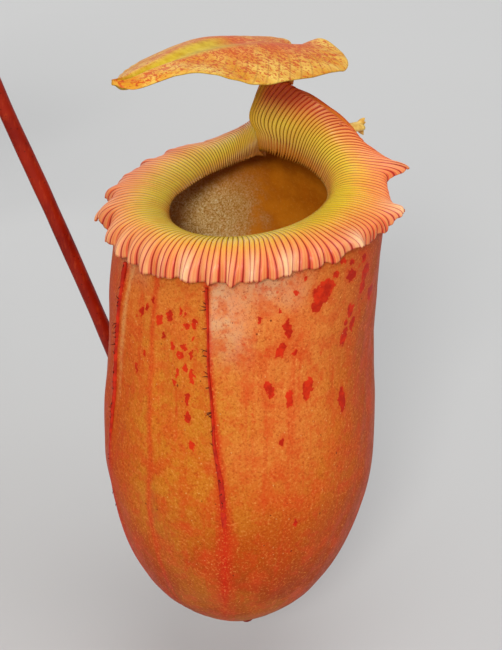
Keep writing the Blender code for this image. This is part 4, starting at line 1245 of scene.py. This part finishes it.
def wall_look():
    look = Look("pitcher_wall", roughness=0.55, specular=0.10, subsurface=0.03)
    around = look.add("ShaderNodeUVMap", uv_map="UVMap").outputs[0]
    round_share, height_share, _ = look.parts(around)
    turn = look.math("WRAP", round_share, 0.5, -0.5) * WALL_ROUND
    height = height_share * WALL_UV_HEIGHT
    flat = look.joined(turn, height)
    degree = WALL_ROUND / 360
    wobble = look.add("ShaderNodeTexNoise")
    look.plug(wobble.inputs["Vector"], look.place)
    wobble.inputs["Scale"].default_value = 560.0
    wobble.inputs["Detail"].default_value = 2.5
    shake = look.vector("SUBTRACT", wobble.outputs["Color"], (0.5, 0.5, 0.5))
    shaken = look.vector("ADD", flat, look.vector("MULTIPLY", shake, (3.6, 3.6, 0)))
    broad = look.noise(34.0, 3.0, 0.55)
    clouds = look.noise(95.0, 3.0, 0.6)
    mid = look.noise(210.0, 3.0, 0.65)
    fine = look.noise(1150.0, 3.0, 0.8)
    streaks = look.noise(1.0, 3.0, 0.6, source=look.vector("MULTIPLY", flat, (0.26, 0.014, 0.0)))
    # golden orange ground: browner and darker low down, partly its own colour and partly painted shade
    # towards the bottom, pinker towards the rim
    colour = look.ramp(height / 160.0, (
        (0.02, rgb(128, 36, 0)), (0.14, rgb(154, 50, 0)), (0.32, rgb(184, 76, 4)),
        (0.52, rgb(206, 102, 18)), (0.72, rgb(212, 112, 34)), (0.86, rgb(216, 116, 44)),
        (0.98, rgb(206, 92, 36))))
    peach = look.span(turn, 24.0 * degree, 36.0 * degree) * look.span(turn, 92.0 * degree, 62.0 * degree)
    colour = look.mix(peach * look.span(height, 56.0, 96.0, 0.0, 0.42), colour, rgb(222, 132, 62))
    # the sides turn darker and redder, which is painted shade where the wall turns away from the light, and
    # the panel between the wings has olive-yellow clouds
    panel = look.span(abs(turn - 8.0 * degree), 26.0, 10.0)
    olive = panel * look.span(height, 40.0, 70.0) * look.span(height, 132.0, 108.0, 0.25, 1.0)
    colour = look.layers(
        colour,
        (olive * look.span(clouds, 0.36, 0.62, 0.08, 0.62), (204, 128, 30)),
        (look.span(broad, 0.44, 0.66, 0.0, 0.5), (200, 120, 26)),
        # painted shade: the right and the left side of the wall darken
        (look.span(turn, 70.0 * degree, 112.0 * degree, 0.0, 0.8), (166, 52, 0)),
        (look.span(turn, -6.0 * degree, -40.0 * degree, 0.0, 0.8), (192, 60, 12)),
        (look.span(clouds, 0.52, 0.30, 0.0, 0.58), (210, 70, 20)),
        (look.span(streaks, 0.52, 0.70) * 0.38, (206, 56, 16)),
    )
    for centre, width, amount in ((-3.0, 1.4, 0.62), (15.0, 1.2, 0.22), (62.0, 2.4, 0.18),
                                  (110.0, 2.2, 0.3)):
        line = abs(turn + (broad - 0.5) * 7.0 - centre * degree)
        line = look.span(line, 0.0, width * 1.7, 1.0, 0.0) * look.span(clouds, 0.3, 0.55, 0.45, 1.0)
        line = line * look.span(height, 16.0, 60.0, 0.4, 1.0)
        colour = look.mix(line * amount, colour, rgb(214, 44, 16))
    wing = look.span(height, 63.0, 142.0, 35.0 * degree, 24.0 * degree, soft=False)
    bend = turn + (clouds - 0.5) * 1.6
    for sign in (1, -1):
        near = abs(bend - wing * float(sign))
        wide = look.span(height, 44.0, 108.0, 4.2, 1.5)
        red = look.math("SUBTRACT", 1.0, near / wide, clamp=True)
        red = red ** 0.8 * look.span(height, 14.0, 40.0, 0.5, 0.95)
        colour = look.mix(red, colour, rgb(202, 34, 8))
        if sign < 0:
            pale = abs(bend * float(sign) - (wing - 3.4))
            pale = look.span(pale, 0.0, 1.8, 1.0, 0.0) * look.span(height, 84.0, 118.0)
            colour = look.mix(pale * 0.55, colour, rgb(222, 164, 96))
    # a greyish pink bloom under the rim, strongest beside the right wing
    beside = look.span(turn, 25.0 * degree, 27.5 * degree) * look.span(turn, 50.0 * degree, 33.0 * degree)
    beside = beside * look.span(height, 112.0, 136.0)
    below = look.span(turn, 30.0 * degree, 44.0 * degree) * look.span(turn, 74.0 * degree, 56.0 * degree)
    below = below * look.span(height, 133.0, 144.0, 0.0, 0.8)
    west = look.span(turn, -4.0 * degree, -12.0 * degree) * look.span(height, 134.0, 144.0, 0.0, 0.3)
    bloom = look.math("MAXIMUM", look.math("MAXIMUM", beside, below), west)
    bloom = bloom * look.span(mid, 0.22, 0.58, 0.35, 1.0)
    pinkish = look.mix(look.span(clouds, 0.4, 0.6), rgb(218, 176, 132), rgb(226, 148, 106))
    colour = look.mix(bloom * 0.78, colour, pinkish)
    # grain of the skin
    colour = look.layers(
        colour,
        (look.span(fine, 0.48, 0.34, 0.0, 0.60), (160, 50, 4)),
        (look.span(fine, 0.52, 0.70, 0.0, 0.58), (238, 150, 74)),
        (look.span(mid, 0.52, 0.36, 0.0, 0.38), (206, 60, 14)),
    )
    # blotches
    least = None
    for centre, z, across, tall, slant in BLOTCHES:
        away = look.vector("SUBTRACT", shaken, (centre * degree, z, 0.0))
        if slant:
            lean = look.add("ShaderNodeVectorRotate", rotation_type="Z_AXIS")
            look.plug(lean.inputs["Vector"], away)
            lean.inputs["Angle"].default_value = slant
            away = lean.outputs[0]
        away = look.vector("LENGTH", look.vector("MULTIPLY", away, (1 / across, 1 / tall, 0.0)))
        least = away if least is None else look.math("MINIMUM", least, away)
    blotch = look.span(least, 0.86, 1.02, 1.0, 0.0)
    colour = look.mix(look.span(least, 1.0, 1.8, 0.25, 0.0), colour, rgb(214, 78, 22))
    red = look.mix(look.span(mid, 0.38, 0.62), rgb(176, 20, 4), rgb(214, 40, 10))
    colour = look.mix(blotch * 0.92, colour, red)
    # small marks: red flecks high up, dark dots, pale dots
    small = ((shaken, (0.30, 0.22), 0, 0.42, 0.20, 0.55, rgb(204, 40, 12)),
             (flat, (0.27, 0.24), 1, 0.45, 0.11, 0.70, rgb(96, 24, 8)),
             (flat, (0.40, 0.38), 2, 0.55, 0.09, 0.42, rgb(240, 184, 120)))
    for source, scale, channel, least_pick, largest, amount, tint in small:
        dots = look.cells(1.0, source=look.vector("MULTIPLY", source, (*scale, 0.0)))
        pick = look.add("ShaderNodeSeparateColor")
        look.plug(pick.inputs[0], dots.outputs["Color"])
        size = look.span(pick.outputs[channel], least_pick, 1.0, 0.0, largest, soft=False)
        mark = look.math("LESS_THAN", dots.outputs["Distance"], size)
        if channel == 0:
            mark = mark * look.span(height, 76.0, 116.0)
        colour = look.mix(mark * amount, colour, tint)
    # the back of the neck takes the rim's colour
    neck = look.mix(look.span(mid, 0.4, 0.6), rgb(214, 74, 26), rgb(236, 116, 52))
    colour = look.mix(look.span(height, 156.0, 168.0) * 0.85, colour, neck)
    # inside: a wax lining, grey-beige and speckled, on the left, and smooth brown-orange on the right; the
    # pale left side is partly the wax's own colour and partly painted light where light falls into the cup,
    # and it turns brown near the rim as painted shade under the rim
    x, y, _ = look.parts(look.place)
    sideways = x * 0.766 + y * 0.643
    edge = sideways + (clouds - 0.5) * 0.035
    # painted light on the left inside, fading near the rim into painted shade
    wax_and_painted_light = look.span(edge, 0.012, -0.006) * look.span(height, 156.0, 140.0, 0.15, 1.0)
    speck = look.noise(1400.0, 3.0, 0.8)
    wax = look.ramp(speck, ((0.34, rgb(166, 108, 36)), (0.46, rgb(212, 160, 84)),
                            (0.55, rgb(234, 198, 130)), (0.68, rgb(252, 236, 196))))
    wax = look.mix(look.span(clouds, 0.62, 0.38, 0.0, 0.45), wax, rgb(196, 128, 46))
    bare = look.mix(look.span(clouds, 0.3, 0.7), rgb(186, 98, 8), rgb(212, 124, 20))
    bare = look.mix(look.span(fine, 0.52, 0.7, 0.0, 0.35), bare, rgb(222, 150, 56))
    lining = look.mix(wax_and_painted_light, bare, wax)
    colour = look.mix(look.attribute("inside"), colour, lining)
    normal = look.bump(mid, 0.14, 0.0010)
    normal = look.bump(fine, 0.22, 0.0004, after=normal)
    rough = look.span(mid, 0.3, 0.7, 0.46, 0.58)
    return look.finish(colour, rough, normal)


def rim_look():
    look = Look("pitcher_rim", roughness=0.32, specular=0.22, coat=0.05, coat_roughness=0.18,
                subsurface=0.05)
    across, rounds = look.attribute("across"), look.attribute("round")
    groove, lobe = look.attribute("groove"), look.attribute("lobe")
    mid = look.noise(110.0, 3.0, 0.6)
    broad = look.noise(38.0, 2.0, 0.5)
    rib = look.attribute("rib")
    each = look.noise(1.0, 2.0, source=look.joined(rib * 0.9, look.attribute("left") * 7.0, across * 1.5))
    shifted = across - look.span(rounds, 0.30, 0.10, 0.0, 0.075)
    shifted = shifted + (broad - 0.5) * 0.16
    shifted = shifted + (each - 0.5) * 0.16
    roll = look.ramp(shifted, (
        (0.00, rgb(140, 70, 0)), (0.08, rgb(180, 124, 0)), (0.20, rgb(206, 174, 2)),
        (0.36, rgb(226, 188, 16)), (0.47, rgb(244, 172, 46)), (0.58, rgb(246, 138, 64)),
        (0.74, rgb(242, 96, 62)), (1.00, rgb(212, 36, 26))))
    neck = look.ramp(shifted, (
        (0.00, rgb(150, 74, 0)), (0.10, rgb(188, 136, 0)), (0.26, rgb(212, 172, 4)),
        (0.40, rgb(222, 140, 10)), (0.54, rgb(214, 80, 12)), (0.78, rgb(206, 44, 12)),
        (1.00, rgb(226, 84, 44))))
    colour = look.mix(look.span(rounds, 0.56, 0.82), roll, neck)
    # between the lobes the edge is deep red, partly its own colour and partly painted shade in the folds,
    # and the lobes themselves are pale, partly their own colour and partly a painted highlight on their
    # raised tops
    between = (1.0 - lobe) * look.span(across, 0.66, 0.92)
    between = between * look.span(rounds, 0.92, 0.66, 0.35, 1.0)
    colour = look.mix(between * 0.80, colour, rgb(218, 40, 22))
    # partly painted highlight: the pale lobe tops
    pale = look.attribute("pale") * look.span(each, 0.30, 0.52, 0.45, 1.0)
    colour = look.mix(pale * 0.78, colour, rgb(255, 212, 172))
    streak = look.span(each, 0.56, 0.68) * look.span(across, 0.5, 0.7)
    colour = look.mix(streak * 0.30, colour, rgb(255, 196, 140))
    # fine striation along each rib
    thread = look.math("SINE", rib * (6.2832 * 3))
    colour = look.layers(
        colour,
        (look.span(thread, -1.0, 1.0, 0.0, 0.16), (255, 226, 130)),
        (look.span(groove, 0.02, 0.0, 0.0, 0.22), (255, 214, 110)),
        (look.span(mid, 0.40, 0.66, 0.0, 0.16), (214, 84, 26)),
    )
    ink = look.mix(look.span(across, 0.25, 0.62), rgb(104, 50, 0), rgb(158, 14, 2))
    depth = look.span(groove, 0.08, 0.75, 0.0, 0.92) * look.span(across, 0.0, 0.14, 0.6, 1.0)
    depth = depth * look.span(look.attribute("pale"), 0.3, 1.0, 1.0, 0.55)
    colour = look.mix(depth, colour, ink)
    crown = look.span(rounds, 0.95, 1.0, 0.0, 0.75) * look.span(across, 1.0, 0.75)
    colour = look.mix(crown, colour, rgb(200, 148, 8))
    top = look.span(rounds, 0.80, 0.90, 0.0, 0.75) * look.span(across, 0.30, 0.6)
    top = top * look.span(rounds, 1.0, 0.955)
    colour = look.mix(top * (1.0 - look.span(groove, 0.3, 0.9, 0.0, 0.6)),
                      colour, rgb(208, 66, 12))
    fangs = look.span(across, 0.08, 0.02) * look.span(rounds, 0.55, 0.85, 0.25, 0.75)
    colour = look.mix(fangs, colour, rgb(176, 96, 10))
    # painted shade, over their own dark red, in the gaps between the teeth at the inner edge
    tooth_gap_shade = look.span(across, 0.13, 0.05) * look.span(groove, 0.05, 0.45)
    colour = look.layers(
        colour,
        (tooth_gap_shade * look.span(rounds, 0.5, 0.8, 0.2, 0.9), (104, 22, 0)),
        (look.attribute("under") * 0.5, (226, 128, 74)),
    )
    normal = look.bump(thread, 0.10, 0.0002)
    return look.finish(colour, look.span(mid, 0.3, 0.7, 0.30, 0.42), normal)


def lid_look():
    look = Look("pitcher_lid", roughness=0.5, specular=0.2, subsurface=0.05)
    across, along, under = (look.attribute(n) for n in ("across", "along", "under"))
    away = abs(across)
    mid = look.noise(120.0, 3.0, 0.6)
    grain = look.noise(1100.0, 2.0, 0.6)
    base = look.mix(look.span(mid, 0.3, 0.7), rgb(224, 150, 26), rgb(246, 204, 96))
    middle = look.span(away, 0.85, 0.20) * look.span(along, 0.02, 0.16)
    middle = middle * look.span(along, 0.74, 0.40, 0.25, 1.0)
    middle = middle * look.span(look.noise(70.0, 3.0), 0.32, 0.58, 0.4, 1.0)
    colour = look.mix(middle * 0.80, base, rgb(226, 84, 26))
    speck = look.noise(760.0, 3.0, 0.75, distortion=0.6)
    level = 0.505 - middle * 0.05
    level = level + look.span(away, 0.80, 1.0, 0.0, 0.06)
    speck = look.span(speck - level, 0.0, 0.05)
    colour = look.mix(speck * 0.85, colour, rgb(208, 70, 14))
    dark = look.cells(430.0)
    colour = look.mix(look.span(dark.outputs["Distance"], 0.08, 0.18, 0.55, 0.0), colour, rgb(160, 44, 14))
    groove = look.span(away + mid * 0.08, 0.34, 0.14)
    groove = groove * look.span(along, 0.42, 0.54) * look.span(along, 0.995, 0.90)
    clear = look.mix(look.span(look.noise(260.0, 2.0), 0.35, 0.65), rgb(196, 160, 16), rgb(220, 192, 48))
    colour = look.mix(groove * 0.92, colour, clear)
    veins = abs(look.math("FRACT", along * 30.0 - away * 7.0) - 0.5)
    veins = look.span(veins, 0.0, 0.14, 1.0, 0.0) * look.span(away, 0.3, 0.8, 0.1, 0.34)
    colour = look.mix(veins, colour, rgb(150, 70, 16))
    below = look.mix(look.span(grain, 0.4, 0.65), rgb(176, 138, 30), rgb(202, 170, 60))
    colour = look.mix(under * 0.85, colour, below)
    normal = look.bump(grain, 0.25, 0.0003)
    normal = look.bump(mid, 0.2, 0.001, after=normal)
    return look.finish(colour, 0.5, normal)


def plain_flesh(name, light, dark):
    look = Look(name, roughness=0.5, specular=0.18)
    grain = look.noise(300.0, 3.0)
    colour = look.mix(look.span(grain, 0.35, 0.65), dark, light)
    return look.finish(colour, 0.5, look.bump(grain, 0.3, 0.0004))


# ---------------------------------------------------------------- build

build_camera()
build_studio()
build_pot()
build_medium()
build_plant()
build_cup(wall_look())
build_rim(rim_look())
lid_material = lid_look()
build_lid(lid_material)
build_wings(plain_flesh("pitcher_wing", rgb(204, 44, 12), rgb(168, 28, 8)),
            plain_flesh("wing_hairs", rgb(120, 34, 14), rgb(70, 16, 6)))
build_spur(plain_flesh("pitcher_spur", rgb(240, 200, 104), rgb(206, 150, 58)))
